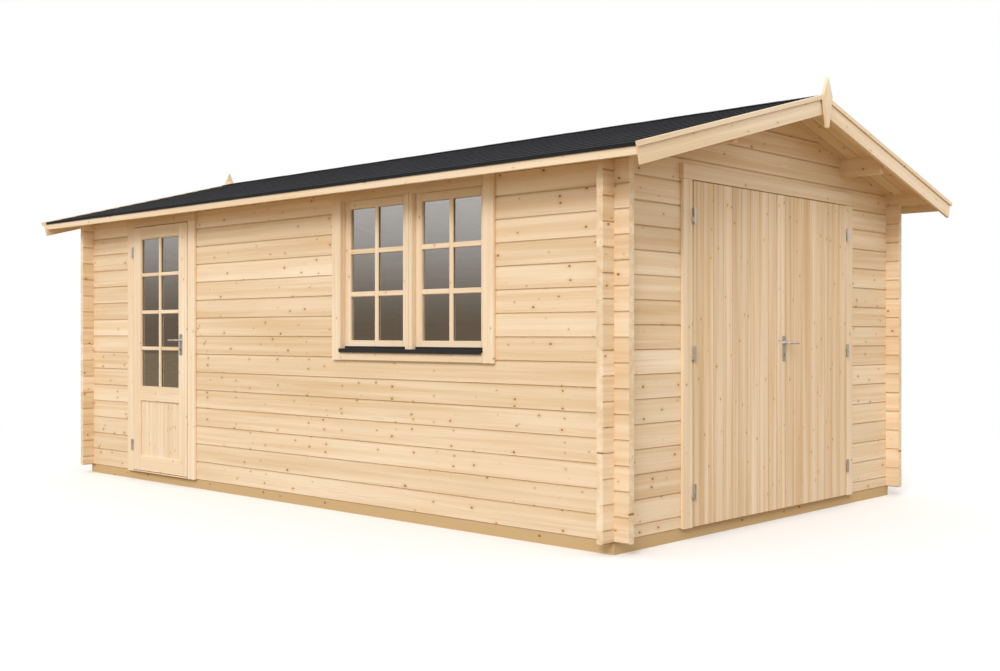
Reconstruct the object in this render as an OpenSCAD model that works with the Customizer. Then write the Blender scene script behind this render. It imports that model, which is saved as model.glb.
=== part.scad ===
// Wooden garage of interlocking logs, with a felted gable roof, a double
// garage door in the front gable, and a window and a glazed door in the left
// wall. Millimetres. The front gable faces -Y, the right wall is at +X, and
// Z = 0 is the underside of the base bearers.

/* [Walls] */
// Width across the outer faces of the side walls
wall_w = 3360; // [3000:10:5000]
// Length between the outer faces of the gable walls
wall_l = 5780; // [5200:10:8000]
// Full logs in a side wall, under its plate log
courses = 15; // [15:1:19]
// Cover height of one log
log_h = 140; // [138:1:170]
// Thickness of a log
log_t = 45; // [34:1:90]
// Depth of the chamfer along each log edge
log_groove = 6; // [2:0.5:9]
// How far the log ends run on past the corners
corner_out = 100; // [60:5:160]
// Height of the plate log at its outer face
plate_h = 64; // [50:1:100]

/* [Base] */
// Height of the base bearers
bearer_h = 70; // [45:1:120]
// Width of the base bearers
bearer_w = 60; // [50:1:100]
// How far the bearers stand back from the wall faces
bearer_inset = 5; // [0:1:15]

/* [Roof] */
// Roof pitch in degrees
pitch = 15; // [12:0.5:22]
// Overhang of the roof past the side walls, to the fascia's face
eave_out = 240; // [180:5:350]
// Overhang of the roof past the gable walls, to the bargeboard's face
gable_out = 360; // [330:5:500]
// Thickness of the roof boards
board_t = 19; // [16:1:28]
// Thickness of the felt covering
felt_t = 8; // [4:1:12]
// How far the felt hangs past the fascia
felt_drip = 8; // [2:1:20]
// Distance of each purlin's inner face from the ridge line
purlin_x = 909; // [500:1:1300]
// Height of a purlin at its inner face
purlin_h = 130; // [100:1:180]
// How far the purlins and plate logs run on past the gable walls
purlin_out = 305; // [200:5:310]
// Depth that a purlin is let down into a gable wall's logs
purlin_notch = 35; // [20:1:60]
// Chamfer around the free ends of purlins and plate logs
end_chamfer = 10; // [4:1:14]
// Height of the eave fascia
fascia_h = 60; // [40:1:90]
// Thickness of the eave fascia
fascia_t = 20; // [15:1:28]
// Height of a bargeboard, square to the slope
barge_h = 122; // [90:1:160]
// Thickness of a bargeboard
barge_t = 20; // [15:1:28]
// How far a bargeboard stands above the roof boards' underside
barge_up = 31; // [28:1:45]
// Height of the lath along a bargeboard's top
lath_h = 28; // [15:1:40]
// Thickness of that lath
lath_t = 10; // [6:1:16]
// How far a bargeboard's foot stands back from the fascia's face
barge_in = 5; // [0:1:20]
// How far a lath's foot runs on past the bargeboard's
lath_out = 12; // [0:1:20]
// Width of the gable finial
finial_w = 110; // [80:1:160]
// Width of the finial's foot
finial_foot = 20; // [10:1:60]
// Height of the gable finial
finial_h = 320; // [240:1:420]
// Height of the finial's tip above its widest part
finial_tip = 118; // [80:1:160]
// Height of that widest part above the peak of the boards' underside
finial_up = 20; // [0:1:40]
// Thickness of the gable finial
finial_t = 20; // [15:1:30]

/* [Door frames] */
// Width of the casing boards beside the doors
casing_w = 95; // [60:1:110]
// Width of the casing board over a door
head_casing_w = 90; // [60:1:110]
// How far the head casing laps past the others at each side
head_lap = 10; // [0:1:20]
// How far the head casing stands out past the others
head_out = 6; // [0:1:10]
// Thickness of the casing boards
casing_t = 24; // [15:1:26]
// Thickness of the jambs
jamb_t = 42; // [30:1:50]
// How far the jambs reach past the wall's inner face
jamb_in = 20; // [12:1:40]
// How far the door stops reach into the opening
stop_w = 15; // [10:1:25]
// Thickness of a door leaf
leaf_t = 42; // [36:1:50]
// How far a leaf's face stands out from the wall
leaf_out = 28; // [26:1:34]
// Gap between a leaf and its frame
leaf_gap = 5; // [5:1:8]

/* [Garage door] */
// Width of one garage door leaf
garage_leaf_w = 949; // [780:1:1050]
// Height of the garage door leaves
garage_leaf_h = 2038; // [1900:1:2045]
// Gap between the two garage door leaves
garage_mid_gap = 8; // [8:1:12]
// Width of the frame behind each leaf's boards
ledge_w = 120; // [90:1:160]
// Thickness of the outer boards of a leaf
leaf_board_t = 20; // [16:1:24]
// How far a brace's ends reach along the frame
brace_end = 54; // [30:1:100]

/* [Side door] */
// Distance of the side door's middle from the building's middle
side_door_y = 1725; // [1500:5:1800]
// Width of the side door leaf
side_leaf_w = 810; // [700:1:900]
// Height of the side door leaf
side_leaf_h = 2005; // [1900:1:2010]
// Height of the side door's threshold
threshold_h = 10; // [8:1:20]
// Width of the side door's stiles
stile_w = 115; // [90:1:140]
// Height of the side door's bottom rail
bottom_rail_h = 120; // [90:1:160]
// Height of the side door's lower panel
lower_panel_h = 455; // [300:1:600]
// Height of the side door's middle rail
mid_rail_h = 111; // [80:1:140]
// Height of the side door's top rail
top_rail_h = 93; // [70:1:120]
// Thickness of the side door's lower panel
panel_t = 18; // [12:1:24]

/* [Window] */
// Distance of the window's middle in front of the building's middle
window_y = 1240; // [1100:5:1300]
// Clear width inside the window frame
window_w = 1340; // [1100:10:1400]
// Height of the window's sill above the ground
window_z = 1112; // [900:1:1400]
// Thickness of the window frame
window_frame_t = 30; // [20:1:42]
// Width of the casing boards beside the window
window_casing_w = 90; // [60:1:110]
// Width of the casing board over the window
window_head_w = 85; // [60:1:110]
// Width of the casing board under the window
window_foot_w = 78; // [50:1:100]
// Width of the post between the sashes
post_w = 70; // [50:1:100]
// Width of the sash stiles and rails
sash_w = 55; // [40:1:70]
// Thickness of the sashes
sash_t = 40; // [30:1:42]
// How far the sashes stand behind the wall's outer face
sash_in = 20; // [10:1:22]
// Thickness of the glass
glass_t = 6; // [4:1:8]
// Thickness of the sill capping
sill_t = 12; // [6:1:16]
// How far the sill capping stands out from the wall
sill_out = 40; // [30:1:60]

/* [Hardware] */
// Height of each barrel hinge
hinge_h = 92; // [70:1:110]
// Radius of a hinge barrel
hinge_r = 8; // [6:0.5:8.5]
// Radius of a hinge pin
pin_r = 3.6; // [2.5:0.1:4.5]
// Height of a hinge arm
hinge_arm_h = 26; // [16:1:30]
// Distance of a hinge's middle from the leaf's end
hinge_end = 205; // [150:5:350]
// Height of the lock plates
plate_len = 165; // [140:1:200]
// Width of the lock plates
plate_w = 42; // [36:1:50]
// Thickness of the lock plates
plate_t = 4; // [3:0.5:6]
// Radius of the lock plates' corners
plate_r = 12; // [4:1:17]
// Distance of a lock plate's middle from the leaf's edge
backset = 80; // [60:1:90]
// Height of a lever's axis above the leaf's foot
lever_z = 1075; // [900:5:1150]
// Height of that axis above the lock plates' middle
lever_up = 35; // [20:1:50]
// Length of a lever from its axis
lever_len = 120; // [90:1:140]
// Radius of a lever's neck
lever_r = 8; // [6:0.5:10]
// Thickness of a lever's arm
lever_t = 14; // [8:1:18]
// Room between a lever's arm and its plate
lever_stand = 34; // [25:1:45]
// Clearance around a lever's neck
lever_play = 0.5; // [0.2:0.1:1]

/* [Hidden] */

// Walls
xo = wall_w / 2;                        // outer face of a side wall
yo = wall_l / 2;                        // outer face of a gable wall
wall_z = bearer_h;                      // underside of the first logs
plate_z = wall_z + courses * log_h;     // underside of the plate logs

// Roof: its underside falls from the ridge, through the plate logs' tops
slope = tan(pitch);
ridge_z = plate_z + plate_h + xo * slope;
function under_z(x) = ridge_z - abs(x) * slope;
board_v = board_t / cos(pitch);         // thicknesses measured straight up
felt_v = felt_t / cos(pitch);
function top_z(x) = under_z(x) + board_v;
eave_x = xo + eave_out - fascia_t;      // end of the roof boards
felt_x = eave_x + fascia_t + felt_drip; // edge of the felt
roof_y = yo + gable_out - barge_t;      // back of the bargeboards

// Doors: u runs along the wall, seen from outside, and v inwards from its face
garage_clear_w = 2 * (garage_leaf_w + leaf_gap) + garage_mid_gap;
garage_leaf_z = wall_z + leaf_gap;
garage_clear_z = garage_leaf_z + garage_leaf_h + leaf_gap;
garage_open_w = garage_clear_w + 2 * jamb_t;
garage_open_z = garage_clear_z + jamb_t;
side_clear_w = side_leaf_w + 2 * leaf_gap;
side_leaf_z = wall_z + threshold_h + leaf_gap;
side_clear_z = side_leaf_z + side_leaf_h + leaf_gap;
side_open_w = side_clear_w + 2 * jamb_t;
side_open_z = side_clear_z + jamb_t;
leaf_back = leaf_t - leaf_out;          // v of a leaf's inner face
stop_v = leaf_back + leaf_gap;
jamb_v = log_t + jamb_in;
barrel_gap = 1;
hinge_v = -leaf_out - hinge_r - barrel_gap; // v of the hinge axes
hinge_u = leaf_gap / 2;                 // hinge axis from the leaf's edge
hinge_rows = 3;

// Window: its head lines up under the same log as the side door's
window_clear_z = side_open_z - window_frame_t;
window_open_w = window_w + 2 * window_frame_t;
window_open_z = window_z - window_frame_t;
sash_leaf_w = (window_w - post_w) / 2;

wood_lit = [0.90, 0.80, 0.62];
wood_trim = [0.93, 0.84, 0.68];
wood_base = [0.78, 0.64, 0.44];

// ---- log walls -----------------------------------------------------------

// Upright section of a log wall: chamfered joints every log_h, raised by
// shift logs
top_joint = ceil((ridge_z - wall_z) / log_h);
module log_section(z0, z1, shift) {
    difference() {
        translate([0, z0]) square([log_t, z1 - z0]);
        for (k = [0 : top_joint])
            let (joint = wall_z + (k + shift) * log_h)
                if (joint > z0 - log_groove && joint < z1 + log_groove)
                    for (face = [0, log_t])
                        translate([face, joint]) rotate(45)
                            square(log_groove * sqrt(2), center = true);
    }
}

// Logs that run along Y, from y0 to y1, with their lowest face at x0
module side_run(x0, y0, y1, z0, z1)
    translate([x0, y1, 0]) rotate([90, 0, 0])
        linear_extrude(y1 - y0) log_section(z0, z1, 0);

// Logs that run along X, half a log higher than the side walls' logs
module gable_run(y0, x0, x1, z0, z1)
    translate([x0, y0, 0]) rotate([90, 0, 90])
        linear_extrude(x1 - x0) log_section(z0, z1, 0.5);

// At a corner each log keeps the middle half of its height. These blocks are
// what the logs of the wall raised by shift keep
module corner_blocks(shift)
    for (sx = [-1, 1], sy = [-1, 1], k = [0 : courses + 1])
        translate([
            sx < 0 ? -xo : xo - log_t,
            sy < 0 ? -yo : yo - log_t,
            wall_z + (k + shift - 0.25) * log_h
        ]) cube([log_t, log_t, log_h / 2]);

module side_wall(x0, y0, y1, z0, z1)
    color(wood_lit) difference() {
        side_run(x0, y0, y1, z0, z1);
        corner_blocks(0);
    }

// Everything lower than rise above the roof boards' underside, from y0 to y1.
// All sloping faces are drawn from the ridge to the felt's edge, and cut to
// length after, so that faces that meet lie in one plane
module under_slope(y0, y1, rise)
    translate([0, y1, 0]) rotate([90, 0, 0]) linear_extrude(y1 - y0)
        polygon([
            [-felt_x, 0], [felt_x, 0], [felt_x, under_z(felt_x) + rise],
            [0, ridge_z + rise], [-felt_x, under_z(felt_x) + rise]
        ]);

// Seats that the purlins need in the gable walls
module purlin_seats()
    for (s = [-1, 1])
        translate([
            s < 0 ? -purlin_x - log_t : purlin_x,
            -yo - corner_out, under_z(purlin_x) - purlin_h + purlin_notch
        ]) cube([log_t, wall_l + 2 * corner_out, purlin_h + log_h]);

module gable_wall(y0, x0, x1, z0, z1)
    color(wood_lit) difference() {
        intersection() {
            gable_run(y0, x0, x1, z0, z1);
            under_slope(y0, y0 + log_t, 0);
        }
        corner_blocks(0.5);
        purlin_seats();
    }

module left_wall_front()
    side_wall(-xo, -yo - corner_out, -window_y - window_open_w / 2, wall_z, plate_z);
module left_wall_under_window()
    side_wall(-xo, -window_y - window_open_w / 2, -window_y + window_open_w / 2,
        wall_z, window_open_z);
module left_wall_middle()
    side_wall(-xo, -window_y + window_open_w / 2, side_door_y - side_open_w / 2,
        wall_z, side_open_z);
module left_wall_back()
    side_wall(-xo, side_door_y + side_open_w / 2, yo + corner_out, wall_z, plate_z);
module left_wall_over_openings()
    side_wall(-xo, -window_y - window_open_w / 2, side_door_y + side_open_w / 2,
        side_open_z, plate_z);
module right_wall()
    side_wall(xo - log_t, -yo - corner_out, yo + corner_out, wall_z, plate_z);

module front_wall_left()
    gable_wall(-yo, -xo - corner_out, -garage_open_w / 2, wall_z, garage_open_z);
module front_wall_right()
    gable_wall(-yo, garage_open_w / 2, xo + corner_out, wall_z, garage_open_z);
module front_gable()
    gable_wall(-yo, -xo - corner_out, xo + corner_out, garage_open_z, ridge_z);
module rear_wall()
    gable_wall(yo - log_t, -xo - corner_out, xo + corner_out, wall_z, ridge_z);

// ---- base ----------------------------------------------------------------

module side_bearers()
    color(wood_base) for (s = [-1, 1])
        translate([
            s < 0 ? -xo + bearer_inset : xo - bearer_inset - bearer_w,
            -yo + bearer_inset, 0
        ]) cube([bearer_w, wall_l - 2 * bearer_inset, bearer_h]);

module cross_bearers() {
    gap = xo - bearer_inset - bearer_w;
    color(wood_base) for (s = [-1, 1])
        translate([
            -gap, s < 0 ? -yo + bearer_inset : yo - bearer_inset - bearer_w, 0
        ]) cube([2 * gap, bearer_w, bearer_h]);
}

// ---- roof timbers --------------------------------------------------------

// A log under the roof, at x0, that runs out past both gable walls. Its top
// is bevelled to the slope and its free ends are chamfered
module roof_log(x0, z0) {
    reach = yo + purlin_out;
    c = end_chamfer;
    intersection() {
        translate([0, reach, 0]) rotate([90, 0, 0]) linear_extrude(2 * reach)
            polygon([
                [x0 + log_groove, z0], [x0 + log_t - log_groove, z0],
                [x0 + log_t, z0 + log_groove], [x0 + log_t, ridge_z],
                [x0, ridge_z], [x0, z0 + log_groove]
            ]);
        under_slope(-reach, reach, 0);
        linear_extrude(ridge_z) polygon([
            [x0 + c, -reach], [x0 + log_t - c, -reach], [x0 + log_t, -reach + c],
            [x0 + log_t, reach - c], [x0 + log_t - c, reach], [x0 + c, reach],
            [x0, reach - c], [x0, -reach + c]
        ]);
        translate([x0, 0, 0]) rotate([90, 0, 90]) linear_extrude(log_t) polygon([
            [-reach, z0 + c], [-reach + c, z0], [reach - c, z0], [reach, z0 + c],
            [reach, ridge_z], [-reach, ridge_z]
        ]);
    }
}

module plate_log(x0)
    color(wood_lit) difference() {
        roof_log(x0, plate_z);
        corner_blocks(0);
    }
module left_plate_log() plate_log(-xo);
module right_plate_log() plate_log(xo - log_t);

// A purlin is notched underneath where it lies in the gable walls
module purlin(x0) {
    z0 = under_z(purlin_x) - purlin_h;
    color(wood_lit) difference() {
        roof_log(x0, z0);
        for (y0 = [-yo, yo - log_t])
            translate([x0 - 1, y0, z0 - 1]) cube([log_t + 2, log_t, purlin_notch + 1]);
    }
}
module purlin_left() purlin(-purlin_x - log_t);
module purlin_right() purlin(purlin_x);

// ---- roof covering -------------------------------------------------------

// A layer of one slope, on the side s, from height rise up to rise + t above
// the boards' underside, out to x1
module roof_layer(s, x1, rise, t)
    intersection() {
        translate([0, roof_y, 0]) rotate([90, 0, 0]) linear_extrude(2 * roof_y)
            polygon([
                [0, ridge_z + rise], [s * felt_x, under_z(felt_x) + rise],
                [s * felt_x, under_z(felt_x) + rise + t], [0, ridge_z + rise + t]
            ]);
        translate([s < 0 ? -x1 : 0, -roof_y, 0]) cube([x1, 2 * roof_y, ridge_z + rise + t]);
    }

module roof_boards_left() color(wood_trim) roof_layer(-1, eave_x, 0, board_v);
module roof_boards_right() color(wood_trim) roof_layer(1, eave_x, 0, board_v);
module roof_felt_left()
    color([0.2, 0.2, 0.22]) roof_layer(-1, felt_x, board_v, felt_v);
module roof_felt_right()
    color([0.2, 0.2, 0.22]) roof_layer(1, felt_x, board_v, felt_v);

// A fascia closes the ends of the roof boards, up to the felt
module eave_fascia(s) {
    x1 = eave_x + fascia_t;
    z0 = top_z(x1) - fascia_h;
    color(wood_trim) intersection() {
        translate([s < 0 ? -x1 : eave_x, -roof_y, z0]) cube([fascia_t, 2 * roof_y, 2 * fascia_h]);
        under_slope(-roof_y, roof_y, board_v);
    }
}
module eave_fascia_left() eave_fascia(-1);
module eave_fascia_right() eave_fascia(1);

// A board that follows the slope on the side s: its lower edge lies drop below
// the roof boards' underside, square to the slope, and its foot is cut square
module verge_board(s, drop, h, foot_x, head_x, y0, t) {
    foot_z = under_z(foot_x) - drop / cos(pitch);
    head_z = under_z(head_x) - drop / cos(pitch);
    translate([0, y0 + t, 0]) rotate([90, 0, 0]) linear_extrude(t)
        polygon([
            [s * head_x, head_z], [s * foot_x, foot_z],
            [s * (foot_x + h * sin(pitch)), foot_z + h * cos(pitch)],
            [s * head_x, head_z + h / cos(pitch)]
        ]);
}

barge_drop = barge_h - barge_up;
barge_foot = eave_x + fascia_t - barge_in;
module barge(s, y0)
    color(wood_trim) verge_board(s, barge_drop, barge_h, barge_foot, 0, y0, barge_t);
module front_barge_left() barge(-1, -roof_y - barge_t);
module front_barge_right() barge(1, -roof_y - barge_t);
module rear_barge_left() barge(-1, roof_y);
module rear_barge_right() barge(1, roof_y);

// The laths stop just short of each other, behind the finials
lath_foot = barge_foot + (barge_h - lath_h) * sin(pitch) + lath_out;
lath_head = 2;
module verge_laths()
    color(wood_trim) for (s = [-1, 1], y0 = [-roof_y - barge_t - lath_t, roof_y + barge_t])
        verge_board(s, lath_h - barge_up, lath_h, lath_foot, lath_head, y0, lath_t);

// A long diamond board that covers the joint of the bargeboards
module finials() {
    face = roof_y + barge_t + lath_t;
    foot_z = finial_tip - finial_h;
    color(wood_trim) for (y1 = [-face, face + finial_t])
        translate([0, y1, ridge_z + finial_up]) rotate([90, 0, 0]) linear_extrude(finial_t)
            polygon([
                [0, finial_tip], [-finial_w / 2, 0], [-finial_foot / 2, foot_z],
                [finial_foot / 2, foot_z], [finial_w / 2, 0]
            ]);
}

// ---- door frames ---------------------------------------------------------

// Puts a piece drawn in u, v and z on the front wall or the left wall
module on_front() translate([0, -yo, 0]) children();
module on_left(y) translate([-xo, y, 0]) rotate([0, 0, -90]) children();

module box_at(u0, v0, z0, u1, v1, z1)
    translate([u0, v0, z0]) cube([u1 - u0, v1 - v0, z1 - z0]);

// Jambs, head, stops and casing of a door. The head casing laps the others
module door_frame(clear_w, clear_z) {
    c = clear_w / 2;
    head_c = c + casing_w + head_lap;
    for (s = [-1, 1]) scale([s, 1, 1]) {
        box_at(c, 0, wall_z, c + jamb_t, jamb_v, clear_z + jamb_t);
        box_at(c - stop_w, stop_v, wall_z, c, jamb_v, clear_z);
        box_at(c, -casing_t, wall_z, c + casing_w, 0, clear_z);
    }
    box_at(-c - jamb_t, 0, clear_z, c + jamb_t, jamb_v, clear_z + jamb_t);
    box_at(-c, stop_v, clear_z - stop_w, c, jamb_v, clear_z);
    box_at(-head_c, -casing_t - head_out, clear_z, head_c, 0, clear_z + head_casing_w);
}

module garage_door_frame()
    color(wood_trim) on_front() door_frame(garage_clear_w, garage_clear_z);

module side_door_frame() {
    c = side_clear_w / 2;
    color(wood_trim) on_left(side_door_y) {
        door_frame(side_clear_w, side_clear_z);
        box_at(-c, -leaf_out, wall_z, c, jamb_v, wall_z + threshold_h);
    }
}

// ---- garage door ---------------------------------------------------------

// One leaf, drawn from its free edge at u = 0 to its hinged edge: outer boards
// on a frame with a middle rail and two braces
module garage_leaf() {
    w = garage_leaf_w;
    h = garage_leaf_h;
    v0 = -leaf_out;
    v1 = v0 + leaf_board_t;
    mid = h / 2 - ledge_w / 2;
    box_at(0, v0, 0, w, v1, h);
    for (u = [0, w - ledge_w]) box_at(u, v1, 0, u + ledge_w, leaf_back, h);
    for (z = [0, mid, h - ledge_w]) box_at(ledge_w, v1, z, w - ledge_w, leaf_back, z + ledge_w);
    for (z = [ledge_w, mid + ledge_w])
        let (rise = mid - ledge_w)
            translate([0, leaf_back, 0]) rotate([90, 0, 0]) linear_extrude(leaf_back - v1)
                polygon([
                    [ledge_w, z + rise], [ledge_w, z + rise - brace_end],
                    [w - ledge_w - brace_end, z], [w - ledge_w, z],
                    [w - ledge_w, z + brace_end], [ledge_w + brace_end, z + rise]
                ]);
}

module neck_bore() {
    depth = 2 * (leaf_t + leaf_out);
    translate([backset, depth / 2, lever_z]) rotate([90, 0, 0])
        cylinder(r = lever_r + lever_play, h = depth, $fn = 48);
}

// Puts a leaf drawn from u = 0 on the side s of the garage door's middle
module garage_side(s)
    on_front() translate([s * garage_mid_gap / 2, 0, garage_leaf_z]) scale([s, 1, 1]) children();

module garage_door_left() color(wood_lit) garage_side(-1) garage_leaf();
module garage_door_right()
    color(wood_lit) garage_side(1) difference() {
        garage_leaf();
        neck_bore();
    }

// ---- side door -----------------------------------------------------------

// Puts a leaf drawn from its free edge at u = 0 in the side door's frame
module side_leaf_place()
    on_left(side_door_y) translate([side_leaf_w / 2, 0, side_leaf_z]) scale([-1, 1, 1]) children();

side_glass_z = bottom_rail_h + lower_panel_h + mid_rail_h;
side_glass_w = side_leaf_w - 2 * stile_w;
side_glass_h = side_leaf_h - side_glass_z - top_rail_h;
leaf_mid_v = leaf_back - leaf_t / 2;

module side_door_leaf()
    color(wood_trim) side_leaf_place() difference() {
        box_at(0, -leaf_out, 0, side_leaf_w, leaf_back, side_leaf_h);
        box_at(stile_w, -leaf_out - 1, side_glass_z,
            stile_w + side_glass_w, leaf_back + 1, side_glass_z + side_glass_h);
        for (v = [-leaf_out - 1, leaf_mid_v + panel_t / 2])
            box_at(stile_w, v, bottom_rail_h, side_leaf_w - stile_w,
                v + (leaf_t - panel_t) / 2 + 1, bottom_rail_h + lower_panel_h);
        neck_bore();
    }

module side_door_glass()
    color([0.6, 0.6, 0.58, 0.6]) side_leaf_place()
        box_at(stile_w, leaf_mid_v - glass_t / 2, side_glass_z,
            stile_w + side_glass_w, leaf_mid_v + glass_t / 2, side_glass_z + side_glass_h);

// ---- hinges --------------------------------------------------------------

function hinge_zs(h, rows) =
    [for (i = [0 : rows - 1]) hinge_end + i * (h - 2 * hinge_end) / (rows - 1)];
pin_play = 0.3;                         // around the pin
knuckle_gap = 1;                        // between the two knuckles, each way
knuckle_h = hinge_h / 2 - knuckle_gap;
pin_top = knuckle_h * 0.7;              // how far the pin runs up
bore_top = pin_top + 5;
arm_z = 11;                             // arms start this far from the joint

// The upper knuckle, which turns with the leaf, and its arm to the leaf
module upper_knuckle() {
    difference() {
        union() {
            translate([0, 0, knuckle_gap]) cylinder(r = hinge_r, h = knuckle_h, $fn = 32);
            box_at(-2 * hinge_r, 0, arm_z, 0, -leaf_out - hinge_v, arm_z + hinge_arm_h);
        }
        cylinder(r = pin_r + pin_play, h = bore_top, $fn = 32);
    }
}

// The lower knuckle, which stays on the frame, with its pin and arm
module lower_knuckle() {
    translate([0, 0, -hinge_h / 2]) cylinder(r = hinge_r, h = knuckle_h, $fn = 32);
    translate([0, 0, -hinge_h / 2]) cylinder(r = pin_r, h = hinge_h / 2 + pin_top, $fn = 32);
    box_at(0, 0, -arm_z - hinge_arm_h, 2 * hinge_r, -casing_t - hinge_v, -arm_z);
}

module hinge_row(w, h, rows)
    for (z = hinge_zs(h, rows)) translate([w + hinge_u, hinge_v, z]) children();

module garage_hinges(s)
    color("silver") garage_side(s) hinge_row(garage_leaf_w, garage_leaf_h, hinge_rows) upper_knuckle();
module garage_hinges_left() garage_hinges(-1);
module garage_hinges_right() garage_hinges(1);
module side_door_hinges()
    color("silver") side_leaf_place() hinge_row(side_leaf_w, side_leaf_h, 2) upper_knuckle();

module hinge_pins()
    color("silver") {
        for (s = [-1, 1])
            garage_side(s) hinge_row(garage_leaf_w, garage_leaf_h, hinge_rows) lower_knuckle();
        side_leaf_place() hinge_row(side_leaf_w, side_leaf_h, 2) lower_knuckle();
    }

// ---- locks ---------------------------------------------------------------

// Plates on both faces of a leaf. The lever sits above their middle
module lock_plates()
    for (v0 = [-leaf_out - plate_t, leaf_back])
        difference() {
            translate([backset, v0 + plate_t, lever_z - lever_up])
                rotate([90, 0, 0]) linear_extrude(plate_t) lock_outline();
            neck_bore();
        }

module lock_outline() {
    for (sz = [-1, 1], su = [-1, 1])
        translate([su * (plate_w / 2 - plate_r), sz * (plate_len / 2 - plate_r)])
            circle(r = plate_r, $fn = 32);
    square([plate_w, plate_len - 2 * plate_r], center = true);
    square([plate_w - 2 * plate_r, plate_len], center = true);
}

// Two levers on one neck, which passes through the leaf
module lever() {
    v0 = -leaf_out - plate_t - lever_stand - lever_t;
    v1 = leaf_back + plate_t + lever_stand + lever_t;
    translate([backset, 0, lever_z]) {
        translate([0, v1, 0]) rotate([90, 0, 0]) cylinder(r = lever_r, h = v1 - v0, $fn = 48);
        for (v = [v0, v1 - lever_t]) {
            box_at(0, v, -lever_r, lever_len - lever_r, v + lever_t, lever_r);
            translate([lever_len - lever_r, v + lever_t, 0]) rotate([90, 0, 0])
                cylinder(r = lever_r, h = lever_t, $fn = 48);
        }
    }
}

module garage_lock_plates() color("silver") garage_side(1) lock_plates();
module garage_lever() color("silver") garage_side(1) lever();
module side_door_lock_plates() color("silver") side_leaf_place() lock_plates();
module side_door_lever() color("silver") side_leaf_place() lever();

// ---- window --------------------------------------------------------------

module window_frame() {
    c = window_w / 2;
    z0 = window_z;
    z1 = window_clear_z;
    t = window_frame_t;
    color(wood_trim) on_left(-window_y) difference() {
        union() {
            box_at(-c - t, 0, z0 - t, c + t, jamb_v, z1 + t);
            box_at(-c - window_casing_w, -casing_t, z0 - window_foot_w,
                c + window_casing_w, 0, z1 + window_head_w);
        }
        difference() {
            box_at(-c, -casing_t - 1, z0, c, jamb_v + 1, z1);
            box_at(-post_w / 2, -casing_t / 2, z0, post_w / 2, jamb_v, z1);
        }
        box_at(-c, -casing_t - 1, z0 - sill_t, c, sash_in, z0);
    }
}

// Puts a piece drawn from the post outwards beside the window's post
module sash_side(s) on_left(-window_y) scale([s, 1, 1]) translate([post_w / 2, 0, window_z]) children();

sash_h = window_clear_z - window_z;
module window_sashes()
    color(wood_trim) for (s = [-1, 1]) sash_side(s) difference() {
        box_at(0, sash_in, 0, sash_leaf_w, sash_in + sash_t, sash_h);
        box_at(sash_w, sash_in - 1, sash_w, sash_leaf_w - sash_w, sash_in + sash_t + 1, sash_h - sash_w);
    }

module window_glass() {
    v = sash_in + sash_t / 2;
    color([0.6, 0.6, 0.58, 0.6]) for (s = [-1, 1]) sash_side(s)
        box_at(sash_w, v - glass_t / 2, sash_w, sash_leaf_w - sash_w, v + glass_t / 2, sash_h - sash_w);
}

module window_sill()
    color([0.12, 0.12, 0.12]) on_left(-window_y)
        box_at(-window_w / 2, -sill_out, window_z - sill_t, window_w / 2, sash_in, window_z);

// ---- drawing -------------------------------------------------------------

side_bearers();
cross_bearers();
left_wall_front();
left_wall_under_window();
left_wall_middle();
left_wall_back();
left_wall_over_openings();
left_plate_log();
right_wall();
right_plate_log();
front_wall_left();
front_wall_right();
front_gable();
rear_wall();
purlin_left();
purlin_right();
roof_boards_left();
roof_boards_right();
roof_felt_left();
roof_felt_right();
front_barge_left();
front_barge_right();
rear_barge_left();
rear_barge_right();
verge_laths();
finials();
eave_fascia_left();
eave_fascia_right();
garage_door_frame();
garage_door_left();
garage_door_right();
garage_hinges_left();
garage_hinges_right();
garage_lock_plates();
garage_lever();
side_door_frame();
side_door_leaf();
side_door_glass();
side_door_hinges();
side_door_lock_plates();
side_door_lever();
hinge_pins();
window_frame();
window_sashes();
window_glass();
window_sill();
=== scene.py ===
"""Looks of a wooden garage of interlocking logs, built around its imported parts.

Every timber is a piece of its own with chamfered edges and its own grain. Sizes
are in metres. The front gable faces -Y and the right wall is at +X.
"""

import math
import random

import bmesh
import bpy
from mathutils import Matrix, Vector


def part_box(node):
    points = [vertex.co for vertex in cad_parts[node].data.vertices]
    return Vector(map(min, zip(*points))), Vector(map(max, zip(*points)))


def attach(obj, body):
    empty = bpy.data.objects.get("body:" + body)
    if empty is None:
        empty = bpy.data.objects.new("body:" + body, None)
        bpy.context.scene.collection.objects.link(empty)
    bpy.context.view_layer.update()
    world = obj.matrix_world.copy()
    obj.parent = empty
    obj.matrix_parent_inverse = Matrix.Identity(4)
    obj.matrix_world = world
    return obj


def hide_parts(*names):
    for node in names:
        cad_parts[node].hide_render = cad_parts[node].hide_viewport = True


bl_info = {
    "name": "Wooden garage",
    "version": (1, 0, 0),
    "blender": (4, 5, 0),
    "location": "3D View > Sidebar > Garage",
    "description": "Builds the boards, logs, roofing and fittings of a wooden garage",
    "category": "Object",
}

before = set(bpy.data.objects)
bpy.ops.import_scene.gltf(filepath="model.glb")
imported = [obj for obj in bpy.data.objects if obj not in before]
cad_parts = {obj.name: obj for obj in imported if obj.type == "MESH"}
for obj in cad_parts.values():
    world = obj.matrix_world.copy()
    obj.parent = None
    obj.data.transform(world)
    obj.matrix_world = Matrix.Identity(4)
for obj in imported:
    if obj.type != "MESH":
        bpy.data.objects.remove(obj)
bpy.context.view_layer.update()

BODY = "building"
LEAF_BODIES = {-1: "garage_leaf_left", 1: "garage_leaf_right"}

SIDES = ((-1, "left"), (1, "right"))

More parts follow.
